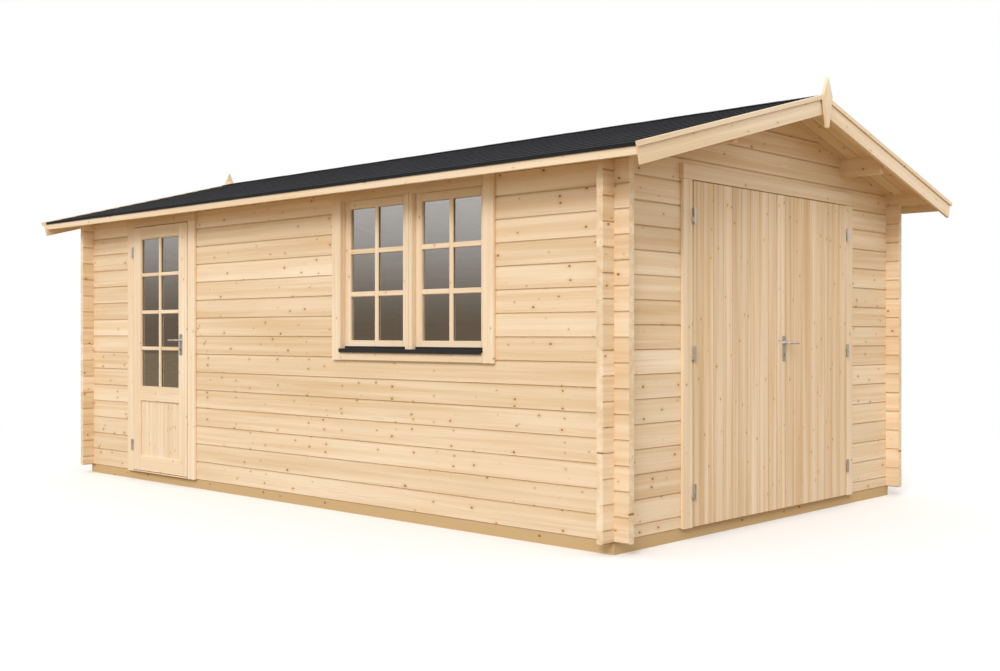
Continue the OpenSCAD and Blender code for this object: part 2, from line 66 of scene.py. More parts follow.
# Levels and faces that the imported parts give
WALL_LOW, WALL_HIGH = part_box("right_wall")
BOARDS_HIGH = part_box("roof_boards_right")[1]
FELT_LOW, FELT_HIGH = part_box("roof_felt_right")
FRONT_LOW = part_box("front_gable")[0]
REAR_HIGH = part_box("rear_wall")[1]
WALL_Z = WALL_LOW.z
WALL_X = WALL_HIGH.x
WALL_Y = -FRONT_LOW.y
LOG_T = WALL_HIGH.x - WALL_LOW.x
PLATE_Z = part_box("right_plate_log")[0].z
STUB_Y = WALL_HIGH.y
STUB_X = REAR_HIGH.x
ROOF_Y = BOARDS_HIGH.y
EAVE_X = BOARDS_HIGH.x
RIDGE_Z = REAR_HIGH.z
PITCH = math.atan2(BOARDS_HIGH.z - FELT_LOW.z, FELT_HIGH.x)
COURSES = 15
LOG_H = (PLATE_Z - WALL_Z) / COURSES
BOARD_T = (BOARDS_HIGH.z - RIDGE_Z) * math.cos(PITCH)
FELT_T = (FELT_HIGH.z - BOARDS_HIGH.z) * math.cos(PITCH)

# Sizes that several pieces use
RIDGE_LAP = 0.01
BARGE_H = 0.122
BARGE_UP = 0.031
LATH_H = 0.028
LATH_T = 0.010
CASING_EDGE = 0.003
LEVER_RADIUS = 0.007
LEVER_REACH = 0.120


# ---- sizes and colours that a user may change --------------------------------


def length_property(label, what, value, least=0.0):
    """A size that a user may change"""
    return bpy.props.FloatProperty(
        name=label, description=what, default=value, min=least, unit="LENGTH"
    )


def count_property(label, what, value, least):
    """A number of boards that a user may change"""
    return bpy.props.IntProperty(name=label, description=what, default=value, min=least)


def colour_property(label, what, value):
    """A colour that a user may change"""
    return bpy.props.FloatVectorProperty(
        name=label,
        description=what,
        default=value,
        size=4,
        min=0.0,
        max=1.0,
        subtype="COLOR",
    )


class GarageTimber(bpy.types.PropertyGroup):
    """Sizes of the boards and their edges"""

    log_edge: length_property("Log chamfer", "Chamfer along the edges of each log", 0.006)
    board_edge: length_property(
        "Board chamfer", "Chamfer along the edges of planed boards", 0.002
    )
    tongued_edge: length_property(
        "Tongued board chamfer", "Chamfer that makes the V joint between tongued boards", 0.0035
    )
    leaf_boards: count_property(
        "Boards in a leaf", "Upright boards across one garage door leaf", 9, 2
    )
    panel_boards: count_property(
        "Boards in the panel", "Upright boards in the side door's lower panel", 5, 1
    )
    roof_board: length_property(
        "Roof board width", "Cover width of the tongued roof boards", 0.096, 0.05
    )
    bar: length_property("Door glazing bar", "Width of the side door's glazing bars", 0.030, 0.01)
    window_bar: length_property(
        "Window glazing bar", "Width of the window's glazing bars", 0.034, 0.01
    )


class GarageRoofing(bpy.types.PropertyGroup):
    """Sizes of the felt strips"""

    course: length_property(
        "Felt course", "Height of felt that shows in each course", 0.145, 0.05
    )
    strip: length_property("Strip length", "Length of one felt strip", 1.0, 0.2)
    thickness: length_property("Felt thickness", "Thickness of one layer of felt", 0.003, 0.001)


class GarageFinish(bpy.types.PropertyGroup):
    """Colours of the wood, the felt and the fittings"""

    pale_wood: colour_property("Pale wood", "Early wood of the spruce", (0.93, 0.765, 0.56, 1))
    deep_wood: colour_property("Deep wood", "Late wood of the spruce", (0.73, 0.48, 0.24, 1))
    knot: colour_property("Knot", "Knots in the spruce", (0.31, 0.135, 0.043, 1))
    bearer: colour_property("Bearer", "Treated base bearers", (0.70, 0.49, 0.27, 1))
    felt: colour_property("Felt", "Mineral felt on the roof", (0.011, 0.012, 0.015, 1))
    steel: colour_property("Steel", "Hinges, plates and levers", (0.62, 0.63, 0.65, 1))
    sill: colour_property("Sill", "Painted sill capping", (0.02, 0.02, 0.021, 1))
    glass: colour_property("Glass", "Tint of the panes", (0.72, 0.70, 0.66, 1))


# ---- shader groups ------------------------------------------------------------


def add_node(tree, kind, **values):
    """Adds a node and sets its options"""
    node = tree.nodes.new(kind)
    for key, value in values.items():
        setattr(node, key, value)
    return node


def feed(tree, socket, value):
    """Links a socket, or sets a plain value"""
    if isinstance(value, bpy.types.NodeSocket):
        tree.links.new(value, socket)
    else:
        socket.default_value = value


def calc(tree, operation, *values):
    """Works out a number from sockets and plain values"""
    node = add_node(tree, "ShaderNodeMath", operation=operation)
    for socket, value in zip(node.inputs, values):
        feed(tree, socket, value)
    return node.outputs[0]


def ramp(tree, value, low, high, to_low=0.0, to_high=1.0):
    """Eases a value between two levels"""
    node = add_node(tree, "ShaderNodeMapRange", interpolation_type="SMOOTHSTEP")
    for socket, item in zip(node.inputs, (value, low, high, to_low, to_high)):
        feed(tree, socket, item)
    return node.outputs[0]


def blend_colour(tree, factor, first, second):
    """Goes from the first colour to the second"""
    node = add_node(tree, "ShaderNodeMix", data_type="RGBA")
    feed(tree, node.inputs[0], factor)
    feed(tree, node.inputs[6], first)
    feed(tree, node.inputs[7], second)
    return node.outputs[2]


def scaled(tree, vector, factors):
    """Stretches a vector or tints a colour"""
    node = add_node(tree, "ShaderNodeVectorMath", operation="MULTIPLY")
    feed(tree, node.inputs[0], vector)
    node.inputs[1].default_value = factors
    return node.outputs[0]


def noise(tree, vector, scale=1.0, detail=2.0, rough=0.5):
    """Soft noise from 0 to 1"""
    node = add_node(tree, "ShaderNodeTexNoise")
    feed(tree, node.inputs["Vector"], vector)
    node.inputs["Scale"].default_value = scale
    node.inputs["Detail"].default_value = detail
    node.inputs["Roughness"].default_value = rough
    return node.outputs["Fac"]


def new_group(name, inputs, outputs):
    """A shader group with its sockets, and its input and output nodes"""
    tree = bpy.data.node_groups.new(name, "ShaderNodeTree")
    for label, kind, value in inputs:
        socket = tree.interface.new_socket(label, in_out="INPUT", socket_type=kind)
        if value is not None:
            socket.default_value = value
    for label, kind in outputs:
        tree.interface.new_socket(label, in_out="OUTPUT", socket_type=kind)
    return tree, tree.nodes.new("NodeGroupInput"), tree.nodes.new("NodeGroupOutput")


def spruce_group():
    """Growth rings, streaks and knots of planed spruce"""
    if "planed spruce" in bpy.data.node_groups:
        return bpy.data.node_groups["planed spruce"]
    tree, given, out = new_group(
        "planed spruce",
        (
            ("Grain", "NodeSocketVector", None),
            ("Tone", "NodeSocketFloat", 0.0),
            ("Pale", "NodeSocketColor", (0.8, 0.6, 0.4, 1)),
            ("Deep", "NodeSocketColor", (0.6, 0.4, 0.2, 1)),
            ("Knot", "NodeSocketColor", (0.2, 0.1, 0.05, 1)),
            ("Streaks", "NodeSocketFloat", 0.5),
            ("Knot Size", "NodeSocketFloat", 0.011),
            ("Joint Shade", "NodeSocketFloat", 0.0),
        ),
        (
            ("Colour", "NodeSocketColor"),
            ("Roughness", "NodeSocketFloat"),
            ("Height", "NodeSocketFloat"),
        ),
    )
    grain = given.outputs["Grain"]
    tone = given.outputs["Tone"]
    deep = given.outputs["Deep"]
    rings_in_metre, ring_waver = 210.0, 2.4
    cells_along, cells_across = 5.6, 15.0
    knot_squeeze, knot_ragged, knot_least = 0.72, 0.004, 0.0009
    parts = add_node(tree, "ShaderNodeSeparateXYZ")
    feed(tree, parts.inputs[0], grain)
    # Rings around a heart that wanders along the timber
    wander = noise(tree, scaled(tree, grain, (0.9, 0.0, 0.0)), detail=1.0)
    across = calc(tree, "MULTIPLY_ADD", wander, 0.05, parts.outputs[1])
    across = calc(tree, "MULTIPLY", across, across)
    through = calc(tree, "MULTIPLY", parts.outputs[2], parts.outputs[2])
    radius = calc(tree, "SQRT", calc(tree, "ADD", across, through))
    waver = noise(tree, scaled(tree, grain, (1.6, 14.0, 14.0)))
    bend = calc(tree, "MULTIPLY", waver, ring_waver)
    turns = calc(tree, "MULTIPLY_ADD", radius, rings_in_metre, bend)
    late = ramp(tree, calc(tree, "FRACT", turns), 0.45, 0.95)
    # Narrow and broad streaks, and fibres
    narrow = noise(tree, scaled(tree, grain, (0.45, 24.0, 24.0)), detail=3.0)
    streak = ramp(tree, narrow, 0.34, 0.70)
    broad = ramp(tree, noise(tree, scaled(tree, grain, (0.8, 6.0, 6.0))), 0.35, 0.68)
    fibre = noise(tree, scaled(tree, grain, (5.0, 330.0, 330.0)), detail=1.0)
    # Knots in about half of the cells, longer along the timber than across it
    spread = scaled(tree, grain, (cells_along, cells_across, 0.0))
    cells = add_node(tree, "ShaderNodeTexVoronoi", voronoi_dimensions="2D")
    feed(tree, cells.inputs["Vector"], spread)
    cells.inputs["Scale"].default_value = 1.0
    cells.inputs["Randomness"].default_value = 0.95
    away = add_node(tree, "ShaderNodeVectorMath", operation="SUBTRACT")
    feed(tree, away.inputs[0], cells.outputs["Position"])
    feed(tree, away.inputs[1], spread)
    metres = scaled(tree, away.outputs[0], (knot_squeeze / cells_along, 1.0 / cells_across, 0.0))
    far = add_node(tree, "ShaderNodeVectorMath", operation="LENGTH")
    feed(tree, far.inputs[0], metres)
    chance = add_node(tree, "ShaderNodeSeparateColor")
    feed(tree, chance.inputs[0], cells.outputs["Color"])
    chosen = ramp(tree, chance.outputs[0], 0.40, 1.15)
    size = calc(tree, "MULTIPLY", chosen, given.outputs["Knot Size"])
    ragged = calc(tree, "MULTIPLY_ADD", waver, knot_ragged, far.outputs["Value"])
    share = calc(tree, "DIVIDE", ragged, calc(tree, "ADD", size, knot_least))
    some = ramp(tree, size, 0.0008, 0.002)
    knot = calc(tree, "MULTIPLY", ramp(tree, share, 0.70, 1.15, 1.0, 0.0), 0.92)
    knot = calc(tree, "MULTIPLY", knot, some)
    halo = calc(tree, "MULTIPLY", ramp(tree, share, 1.0, 3.6, 1.0, 0.0), some)
    # Late wood, streaks and the wood around a knot go deeper in colour
    mix = given.outputs["Pale"]
    deeper = ((streak, given.outputs["Streaks"]), (broad, 0.22), (late, 0.24), (halo, 0.35))
    for mask, amount in deeper:
        mix = blend_colour(tree, calc(tree, "MULTIPLY", mask, amount), mix, deep)
    mix = blend_colour(tree, knot, mix, given.outputs["Knot"])
    # Painted shade: the chamfers at each joint go darker, towards a shaded deep wood colour
    shaded = scaled(tree, deep, (0.52, 0.46, 0.38))
    mix = blend_colour(tree, given.outputs["Joint Shade"], mix, shaded)
    # Each timber has a tone of its own
    level = add_node(tree, "ShaderNodeHueSaturation")
    feed(tree, level.inputs["Color"], mix)
    value = calc(tree, "MULTIPLY_ADD", fibre, 0.10, 0.95)
    value = calc(tree, "ADD", value, calc(tree, "MULTIPLY", tone, 0.07))
    feed(tree, level.inputs["Value"], value)
    feed(tree, level.inputs["Saturation"], calc(tree, "MULTIPLY_ADD", tone, -0.07, 1.0))
    feed(tree, out.inputs["Colour"], level.outputs[0])
    dull = calc(tree, "MULTIPLY_ADD", streak, 0.10, 0.52)
    feed(tree, out.inputs["Roughness"], calc(tree, "MULTIPLY_ADD", fibre, 0.10, dull))
    height = calc(tree, "MULTIPLY_ADD", late, 0.5, calc(tree, "MULTIPLY", fibre, 0.4))
    feed(tree, out.inputs["Height"], calc(tree, "MULTIPLY_ADD", knot, -0.6, height))
    return tree


def speckle_group():
    """Fine grain of a mineral or painted surface"""
    if "fine speckle" in bpy.data.node_groups:
        return bpy.data.node_groups["fine speckle"]
    tree, given, out = new_group(
        "fine speckle",
        (
            ("Place", "NodeSocketVector", None),
            ("Colour", "NodeSocketColor", (0.1, 0.1, 0.1, 1)),
            ("Light", "NodeSocketColor", (0.2, 0.2, 0.2, 1)),
            ("Scale", "NodeSocketFloat", 400.0),
            ("Amount", "NodeSocketFloat", 0.5),
            ("Roughness", "NodeSocketFloat", 0.8),
        ),
        (
            ("Colour", "NodeSocketColor"),
            ("Roughness", "NodeSocketFloat"),
            ("Height", "NodeSocketFloat"),
        ),
    )
    grains = add_node(tree, "ShaderNodeTexNoise")
    feed(tree, grains.inputs["Vector"], given.outputs["Place"])
    feed(tree, grains.inputs["Scale"], given.outputs["Scale"])
    grains.inputs["Detail"].default_value = 2.0
    cloud = noise(tree, given.outputs["Place"], scale=1.7, detail=4.0, rough=0.6)
    dots = ramp(tree, grains.outputs["Fac"], 0.42, 0.72)
    factor = calc(tree, "MULTIPLY", dots, given.outputs["Amount"])
    factor = calc(tree, "MULTIPLY_ADD", ramp(tree, cloud, 0.3, 0.75), 0.22, factor)
    colour = blend_colour(tree, factor, given.outputs["Colour"], given.outputs["Light"])
    feed(tree, out.inputs["Colour"], colour)
    rough = calc(tree, "MULTIPLY_ADD", cloud, 0.12, given.outputs["Roughness"])
    feed(tree, out.inputs["Roughness"], calc(tree, "SUBTRACT", rough, 0.06))
    feed(tree, out.inputs["Height"], grains.outputs["Fac"])
    return tree


# ---- materials ------------------------------------------------------------------


def new_material(name):
    """A material, its nodes, and its shader"""
    material = bpy.data.materials.new(name)
    material.use_nodes = True
    tree = material.node_tree
    return material, tree, tree.nodes["Principled BSDF"]


def dress(tree, shader, group, depth):
    """Feeds a group's colour, roughness and height to the shader"""
    tree.links.new(group.outputs["Colour"], shader.inputs["Base Color"])
    tree.links.new(group.outputs["Roughness"], shader.inputs["Roughness"])
    bump = add_node(tree, "ShaderNodeBump")
    bump.inputs["Strength"].default_value = 0.5
    bump.inputs["Distance"].default_value = depth
    tree.links.new(group.outputs["Height"], bump.inputs["Height"])
    tree.links.new(bump.outputs[0], shader.inputs["Normal"])


def spruce(
    name, tint=(1.0, 1.0, 1.0), streaks=0.5, knots=0.010, along=None, colour=None, joint_shade=0.0
):
    """Planed spruce. The grain follows each timber, or the first axis of along"""
    if name in bpy.data.materials:
        return bpy.data.materials[name]
    finish = bpy.context.scene.garage_finish
    material, tree, shader = new_material(name)
    group = add_node(tree, "ShaderNodeGroup", node_tree=spruce_group())
    if along is None:
        layers = {}
        for label in ("grain", "tone", "chamfer"):
            layers[label] = add_node(tree, "ShaderNodeAttribute", attribute_name=label)
        tree.links.new(layers["grain"].outputs["Vector"], group.inputs["Grain"])
        tree.links.new(layers["tone"].outputs["Fac"], group.inputs["Tone"])
        # Painted shade darkens the chamfer faces at the joints
        shade = calc(tree, "MULTIPLY", layers["chamfer"].outputs["Fac"], joint_shade)
        tree.links.new(shade, group.inputs["Joint Shade"])
    else:
        place = add_node(tree, "ShaderNodeTexCoord")
        parts = add_node(tree, "ShaderNodeSeparateXYZ")
        turned = add_node(tree, "ShaderNodeCombineXYZ")
        tree.links.new(place.outputs["Object"], parts.inputs[0])
        for target, source in enumerate(along):
            tree.links.new(parts.outputs["XYZ".index(source)], turned.inputs[target])
        tree.links.new(turned.outputs[0], group.inputs["Grain"])
    pale = colour or finish.pale_wood
    for label, base in (("Pale", pale), ("Deep", finish.deep_wood)):
        shade = [a * b for a, b in zip(base[:3], tint)]
        group.inputs[label].default_value = (*shade, 1.0)
    group.inputs["Knot"].default_value = finish.knot
    group.inputs["Streaks"].default_value = streaks
    group.inputs["Knot Size"].default_value = knots
    shader.inputs["Specular IOR Level"].default_value = 0.25
    dress(tree, shader, group, 0.0006)
    return material


def log_spruce():
    """Wall logs"""
    return spruce("spruce logs", streaks=0.56, joint_shade=0.34)


def trim_spruce():
    """Frames, casings and bargeboards, planed and paler"""
    tint = (1.01, 1.02, 1.04)
    return spruce("spruce trim", tint, streaks=0.40, knots=0.007, joint_shade=0.12)


def leaf_spruce():
    """The garage leaves' boards, with strong upright streaks"""
    tint = (0.99, 0.98, 0.99)
    return spruce("spruce door boards", tint, streaks=0.85, knots=0.007, joint_shade=0.42)


def roof_spruce():
    """Roof boards, seen from below"""
    tint = (1.0, 0.98, 0.94)
    return spruce("spruce roof boards", tint, streaks=0.5, joint_shade=0.5)


def speckled(name, base, light, scale, amount, rough, depth, metal=0.0):
    """Felt, metal or paint, with light specks on a base colour"""
    if name in bpy.data.materials:
        return bpy.data.materials[name]
    material, tree, shader = new_material(name)
    group = add_node(tree, "ShaderNodeGroup", node_tree=speckle_group())
    place = add_node(tree, "ShaderNodeTexCoord")
    tree.links.new(place.outputs["Object"], group.inputs["Place"])
    group.inputs["Colour"].default_value = base
    group.inputs["Light"].default_value = light
    group.inputs["Scale"].default_value = scale
    group.inputs["Amount"].default_value = amount
    group.inputs["Roughness"].default_value = rough
    shader.inputs["Metallic"].default_value = metal
    if not metal:
        shader.inputs["Specular IOR Level"].default_value = 0.2
    dress(tree, shader, group, depth)
    return material


def mineral_felt():
    base = bpy.context.scene.garage_finish.felt
    light = (0.042, 0.043, 0.050, 1.0)
    return speckled(
        "mineral felt", base, light, scale=330.0, amount=0.55, rough=0.86, depth=0.0012
    )


def brushed_steel():
    base = bpy.context.scene.garage_finish.steel
    light = (0.80, 0.81, 0.83, 1.0)
    return speckled(
        "brushed steel", base, light, scale=600.0, amount=0.4, rough=0.30, depth=0.0001, metal=1.0
    )


def painted_keyhole_shade():
    # Painted shade: near black, standing for the dark inside of a keyhole
    base = (0.01, 0.01, 0.011, 1)
    light = (0.04, 0.04, 0.04, 1)
    return speckled("keyhole painted shade", base, light, scale=500.0, amount=0.3, rough=0.5, depth=0.0001)


def painted_sill():
    base = bpy.context.scene.garage_finish.sill
    light = (0.05, 0.05, 0.052, 1)
    return speckled("painted sill", base, light, scale=700.0, amount=0.4, rough=0.38, depth=0.0001)


def pane_glass():
    """Tinted glass with a strong reflection and faint smears"""
    if "pane glass" in bpy.data.materials:
        return bpy.data.materials["pane glass"]
    material, tree, shader = new_material("pane glass")
    place = add_node(tree, "ShaderNodeTexCoord")
    smear = noise(tree, place.outputs["Object"], scale=9.0, detail=3.0)
    tree.links.new(ramp(tree, smear, 0.4, 0.9, 0.01, 0.05), shader.inputs["Roughness"])
    tint = tuple(bpy.context.scene.garage_finish.glass)
    smeared = 0.94
    dim = tuple(smeared * part for part in tint[:3]) + (1.0,)
    tree.links.new(blend_colour(tree, smear, dim, tint), shader.inputs["Base Color"])
    shader.inputs["IOR"].default_value = 3.6
    shader.inputs["Transmission Weight"].default_value = 1.0
    return material


# ---- mesh building --------------------------------------------------------------


def make_piece(name, verts, faces, material, body, nodes=(), attributes=()):
    """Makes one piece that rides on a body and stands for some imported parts"""
    mesh = bpy.data.meshes.new(name)
    mesh.from_pydata(verts, [], faces)
    for label, kind, domain, values in attributes:
        layer = mesh.attributes.new(label, kind, domain)
        key = "vector" if kind == "FLOAT_VECTOR" else "value"
        layer.data.foreach_set(key, values)
    mesh.materials.append(material)
    mesh.update()
    piece = bpy.data.objects.new(name, mesh)
    bpy.context.scene.collection.objects.link(piece)
    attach(piece, body)
    if nodes:
        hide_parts(*nodes)
    return piece


def dress_node(name, material):
    """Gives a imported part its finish"""
    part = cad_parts[name]
    if not part.material_slots:
        part.data.materials.append(material)
    for place in part.material_slots:
        place.material = material


class Timbers:
    """Timbers of one piece, each with its own grain and tone, drawn from a seed"""

    # The share of a timber's side that a chamfer may take
    most_chamfer = 0.3

    def __init__(self, seed, spread=1.0):
        self.rng = random.Random(seed)
        self.spread = spread
        self.verts = []
        self.faces = []
        self.grain = []
        self.tone = []
        self.chamfer = []

    def add(self, low, high, along, edge=0.002, cuts=(), place=None):
        """A timber between two corners, with chamfers along its four long edges"""
        across, through = [i for i in range(3) if i != along]
        if high[through] - low[through] > high[across] - low[across]:
            across, through = through, across
        a0, a1, t0, t1 = low[across], high[across], low[through], high[through]
        k = min(edge, self.most_chamfer * (t1 - t0), self.most_chamfer * (a1 - a0))
        ring = (
            (a0 + k, t0), (a1 - k, t0), (a1, t0 + k), (a1, t1 - k),
            (a1 - k, t1), (a0 + k, t1), (a0, t1 - k), (a0, t0 + k),
        )
        bm = bmesh.new()
        bevels = bm.faces.layers.int.new("bevels")
        ends = []
        for level in (low[along], high[along]):
            loop = []
            for a, t in ring:
                spot = [0.0, 0.0, 0.0]
                spot[along] = level
                spot[across] = a
                spot[through] = t
                loop.append(bm.verts.new(spot))
            ends.append(loop)
            bm.faces.new(loop)
        for i in range(len(ring)):
            j = (i + 1) % len(ring)
            face = bm.faces.new((ends[0][i], ends[0][j], ends[1][j], ends[1][i]))
            face[bevels] = i % 2
        if place is not None:
            bm.transform(place)
        for point, normal in cuts:
            everything = bm.verts[:] + bm.edges[:] + bm.faces[:]
            done = bmesh.ops.bisect_plane(
                bm, geom=everything, dist=1e-6, plane_co=point, plane_no=normal, clear_outer=True
            )
            rim = [e for e in done["geom_cut"] if isinstance(e, bmesh.types.BMEdge)]
            if rim:
                bmesh.ops.edgeloop_fill(bm, edges=rim)
        # Where in a trunk the timber was sawn: along, across, and from the heart
        shift = (
            self.rng.uniform(0.0, 60.0),
            self.rng.uniform(-0.06, 0.06),
            self.rng.uniform(0.02, 0.14),
        )
        tone = self.rng.uniform(-1.0, 1.0) * self.spread
        if bm.faces:
            bmesh.ops.recalc_face_normals(bm, faces=bm.faces[:])
            back = place.inverted() if place is not None else Matrix.Identity(4)
            first = len(self.verts)
            bm.verts.index_update()
            for vert in bm.verts:
                home = back @ vert.co
                self.verts.append(tuple(vert.co))
                self.grain += (
                    home[along] + shift[0],
                    home[across] - (a0 + a1) / 2 + shift[1],
                    home[through] - (t0 + t1) / 2 + shift[2],
                )
                self.tone.append(tone)
            # The chamfer layer marks the chamfer faces, which the spruce materials darken as
            # painted shade
            for face in bm.faces:
                self.faces.append([first + v.index for v in face.verts])
                self.chamfer.append(float(face[bevels]))
        bm.free()

    def piece(self, name, material, body=BODY, slot="log_wood", nodes=()):
        layers = (
            ("grain", "FLOAT_VECTOR", "POINT", self.grain),
            ("tone", "FLOAT", "POINT", self.tone),
            ("chamfer", "FLOAT", "FACE", self.chamfer),
        )
        return make_piece(name, self.verts, self.faces, material, body, nodes, layers)

    def trim(self, name, *nodes, body=BODY):
        """Makes a piece of planed trim that stands for the nodes"""
        return self.piece(name, trim_spruce(), body, "trim_wood", nodes)


def circle(centre, across, up, radius, sides):
    """Points around a centre"""
    points = []
    for k in range(sides):
        angle = 2 * math.pi * k / sides
        points.append(centre + (across * math.cos(angle) + up * math.sin(angle)) * radius)
    return points


def skin(rings):
    """Verts and faces of a solid with rings of points along it and flat ends"""
    sides = len(rings[0])
    verts = [tuple(point) for ring in rings for point in ring]
    faces = []
    for low in range(0, len(verts) - sides, sides):
        for k in range(sides):
            n = (k + 1) % sides
            faces.append([low + k, low + n, low + sides + n, low + sides + k])
    faces.append(list(range(sides))[::-1])
    faces.append(list(range(len(verts) - sides, len(verts))))
    return verts, faces


def rounded_end(tip, outward, radius, steps=4):
    """Places and sizes of the rings that close a round bar, from its tip inwards"""
    bulge, least = 0.4, 0.05
    rings = []
    for i in range(steps):
        turn = math.radians(90.0 * i / steps)
        spot = tip + outward.normalized() * radius * bulge * math.cos(turn)
        rings.append((spot, radius * max(math.sin(turn), least)))
    return rings


def tube(path, radius, sides=20):
    """Verts and faces of a round bar along a path, with rounded ends"""
    stations = rounded_end(path[0], path[0] - path[1], radius)
    stations += [(point, radius) for point in path]
    stations += rounded_end(path[-1], path[-1] - path[-2], radius)[::-1]
    rings = []
    normal = None
    for i, (spot, size) in enumerate(stations):
        before = stations[max(i - 1, 0)][0]
        after = stations[min(i + 1, len(stations) - 1)][0]
        ahead = (after - before).normalized()
        if normal is None:
            normal = ahead.orthogonal().normalized()
        normal = (normal - ahead * normal.dot(ahead)).normalized()
        rings.append(circle(spot, normal, ahead.cross(normal), size, sides))
    return skin(rings)


def join_parts(parts):
    """One list of verts and faces out of several"""
    verts = []
    faces = []
    for some_verts, some_faces in parts:
        first = len(verts)
        verts += some_verts
        faces += [[first + i for i in face] for face in some_faces]
    return verts, faces


def disc(centre, outward, radius, proud, sides=10):
    """Verts and faces of a shallow round head that stands proud of a face"""
    crown = 0.6
    outward = outward.normalized()
    side = outward.orthogonal().normalized()
    other = outward.cross(side)
    rings = []
    for size, level in ((radius, 0.0), (radius, proud * crown), (radius * crown, proud)):
        rings.append(circle(centre + outward * level, side, other, size, sides))
    return skin(rings)


# ---- places -----------------------------------------------------------------------


def slope_place(side):
    """Down one slope, along the roof, and square out of the boards' underside"""
    c, s = math.cos(PITCH), math.sin(PITCH)
    return Matrix(
        (
            (side * c, 0.0, side * s, 0.0),
            (0.0, 1.0, 0.0, 0.0),
            (-s, 0.0, c, RIDGE_Z),
            (0.0, 0.0, 0.0, 1.0),
        )
    )


def slope_cut(side, rise=0.0):
    """Cuts away what stands higher than rise over the boards' underside"""
    normal = Vector((side * math.sin(PITCH), 0.0, math.cos(PITCH)))
    return Vector((0.0, 0.0, RIDGE_Z + rise)), normal


def middle_cut(side, x=0.0):
    """Cuts away what lies across the middle of the roof"""
    return Vector((side * x, 0.0, 0.0)), Vector((-side, 0.0, 0.0))


def on_front():
    """From u, v and z to the face of the front wall"""
    return Matrix.Translation((0.0, -WALL_Y, 0.0))


def on_left(y):
    """From u, v and z to the face of the left wall, around y"""
    return Matrix.Translation((-WALL_X, y, 0.0)) @ Matrix.Rotation(-math.pi / 2, 4, "Z")


def mirrored(side):
    """Turns u the other way where side is -1"""
    return Matrix.Diagonal((side, 1.0, 1.0, 1.0))


# ---- log walls ----------------------------------------------------------------------


def side_log(timbers, x0, z0, z1, y0, y1, edge):
    """A log, or a stretch of one, in a side wall"""
    timbers.add((x0, y0, z0), (x0 + LOG_T, y1, z1), 1, edge)


def side_wall(timbers, x0, openings, edge):
    """One log to a course, from corner to corner, cut where openings are"""
    for course in range(COURSES):
        z0 = WALL_Z + course * LOG_H
        z1 = z0 + LOG_H
        start = -STUB_Y
        for y0, y1, low, high in openings:
            if low >= z1 or high <= z0:
                continue
            side_log(timbers, x0, z0, z1, start, y0, edge)
            if low > z0:
                side_log(timbers, x0, z0, low, y0, y1, edge)
            if high < z1:
                side_log(timbers, x0, high, z1, y0, y1, edge)
            start = y1
        side_log(timbers, x0, z0, z1, start, STUB_Y, edge)


def gable_wall(timbers, y0, opening, edge):
    """Logs half a course higher than the side walls', under the slopes"""
    cuts = (slope_cut(-1), slope_cut(1))
    inner = WALL_X - LOG_T
    z0 = WALL_Z
    z1 = WALL_Z + LOG_H / 2
    while z0 < RIDGE_Z:
        spans = [(-inner, inner, z0, z1)]
        if opening and z0 < opening[1]:
            spans = [(-inner, -opening[0], z0, z1), (opening[0], inner, z0, z1)]
            if opening[1] < z1:
                spans.append((-opening[0], opening[0], opening[1], z1))
        spans += [(-STUB_X, -WALL_X, z0, z1), (WALL_X, STUB_X, z0, z1)]
        for x0, x1, low, high in spans:
            timbers.add((x0, y0, low), (x1, y0 + LOG_T, high), 0, edge, cuts)
        z0, z1 = z1, z1 + LOG_H


# ---- operators ------------------------------------------------------------------------


class GARAGE_OT_left_wall(bpy.types.Operator):
    """Lay the logs of the wall with the window and the side door"""

    bl_idname = "garage.left_wall"
    bl_label = "Left wall"

    def execute(self, context):
        edge = context.scene.garage_timber.log_edge
        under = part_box("left_wall_under_window")
        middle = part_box("left_wall_middle")
        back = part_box("left_wall_back")
        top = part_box("left_wall_over_openings")[0].z
        openings = (
            (under[0].y, under[1].y, under[1].z, top),
            (middle[1].y, back[0].y, WALL_Z, top),
        )
        timbers = Timbers(11)
        side_wall(timbers, -WALL_X, openings, edge)
        nodes = ["left_wall_front", "left_wall_under_window", "left_wall_middle"]
        nodes += ["left_wall_back", "left_wall_over_openings"]
        timbers.piece("left_wall_logs", log_spruce(), nodes=nodes)
        return {"FINISHED"}


class GARAGE_OT_right_wall(bpy.types.Operator):
    """Lay the logs of the plain side wall"""

    bl_idname = "garage.right_wall"
    bl_label = "Right wall"

    def execute(self, context):
        timbers = Timbers(12)
        side_wall(timbers, WALL_X - LOG_T, (), context.scene.garage_timber.log_edge)
        timbers.piece("right_wall_logs", log_spruce(), nodes=["right_wall"])
        return {"FINISHED"}


class GARAGE_OT_gable_walls(bpy.types.Operator):
    """Lay the logs of the front and rear gables"""

    bl_idname = "garage.gable_walls"
    bl_label = "Gable walls"

    def execute(self, context):
        edge = context.scene.garage_timber.log_edge
        opening = (-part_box("front_wall_left")[1].x, FRONT_LOW.z)
        front = Timbers(13)
        gable_wall(front, -WALL_Y, opening, edge)
        nodes = ["front_wall_left", "front_wall_right", "front_gable"]
        front.piece("front_wall_logs", log_spruce(), nodes=nodes)
        rear = Timbers(14)
        gable_wall(rear, WALL_Y - LOG_T, None, edge)
        rear.piece("rear_wall_logs", log_spruce(), nodes=["rear_wall"])
        return {"FINISHED"}


class GARAGE_OT_base(bpy.types.Operator):
    """Finish the base bearers"""

    bl_idname = "garage.base"
    bl_label = "Base"

    def execute(self, context):
        colour = context.scene.garage_finish.bearer
        for node, along in (("side_bearers", "YZX"), ("cross_bearers", "XZY")):
            name = "bearer spruce " + along[0].lower()
            tint = (0.9, 0.9, 0.85)
            material = spruce(name, tint, knots=0.012, along=along, colour=colour)
            dress_node(node, material)
        return {"FINISHED"}


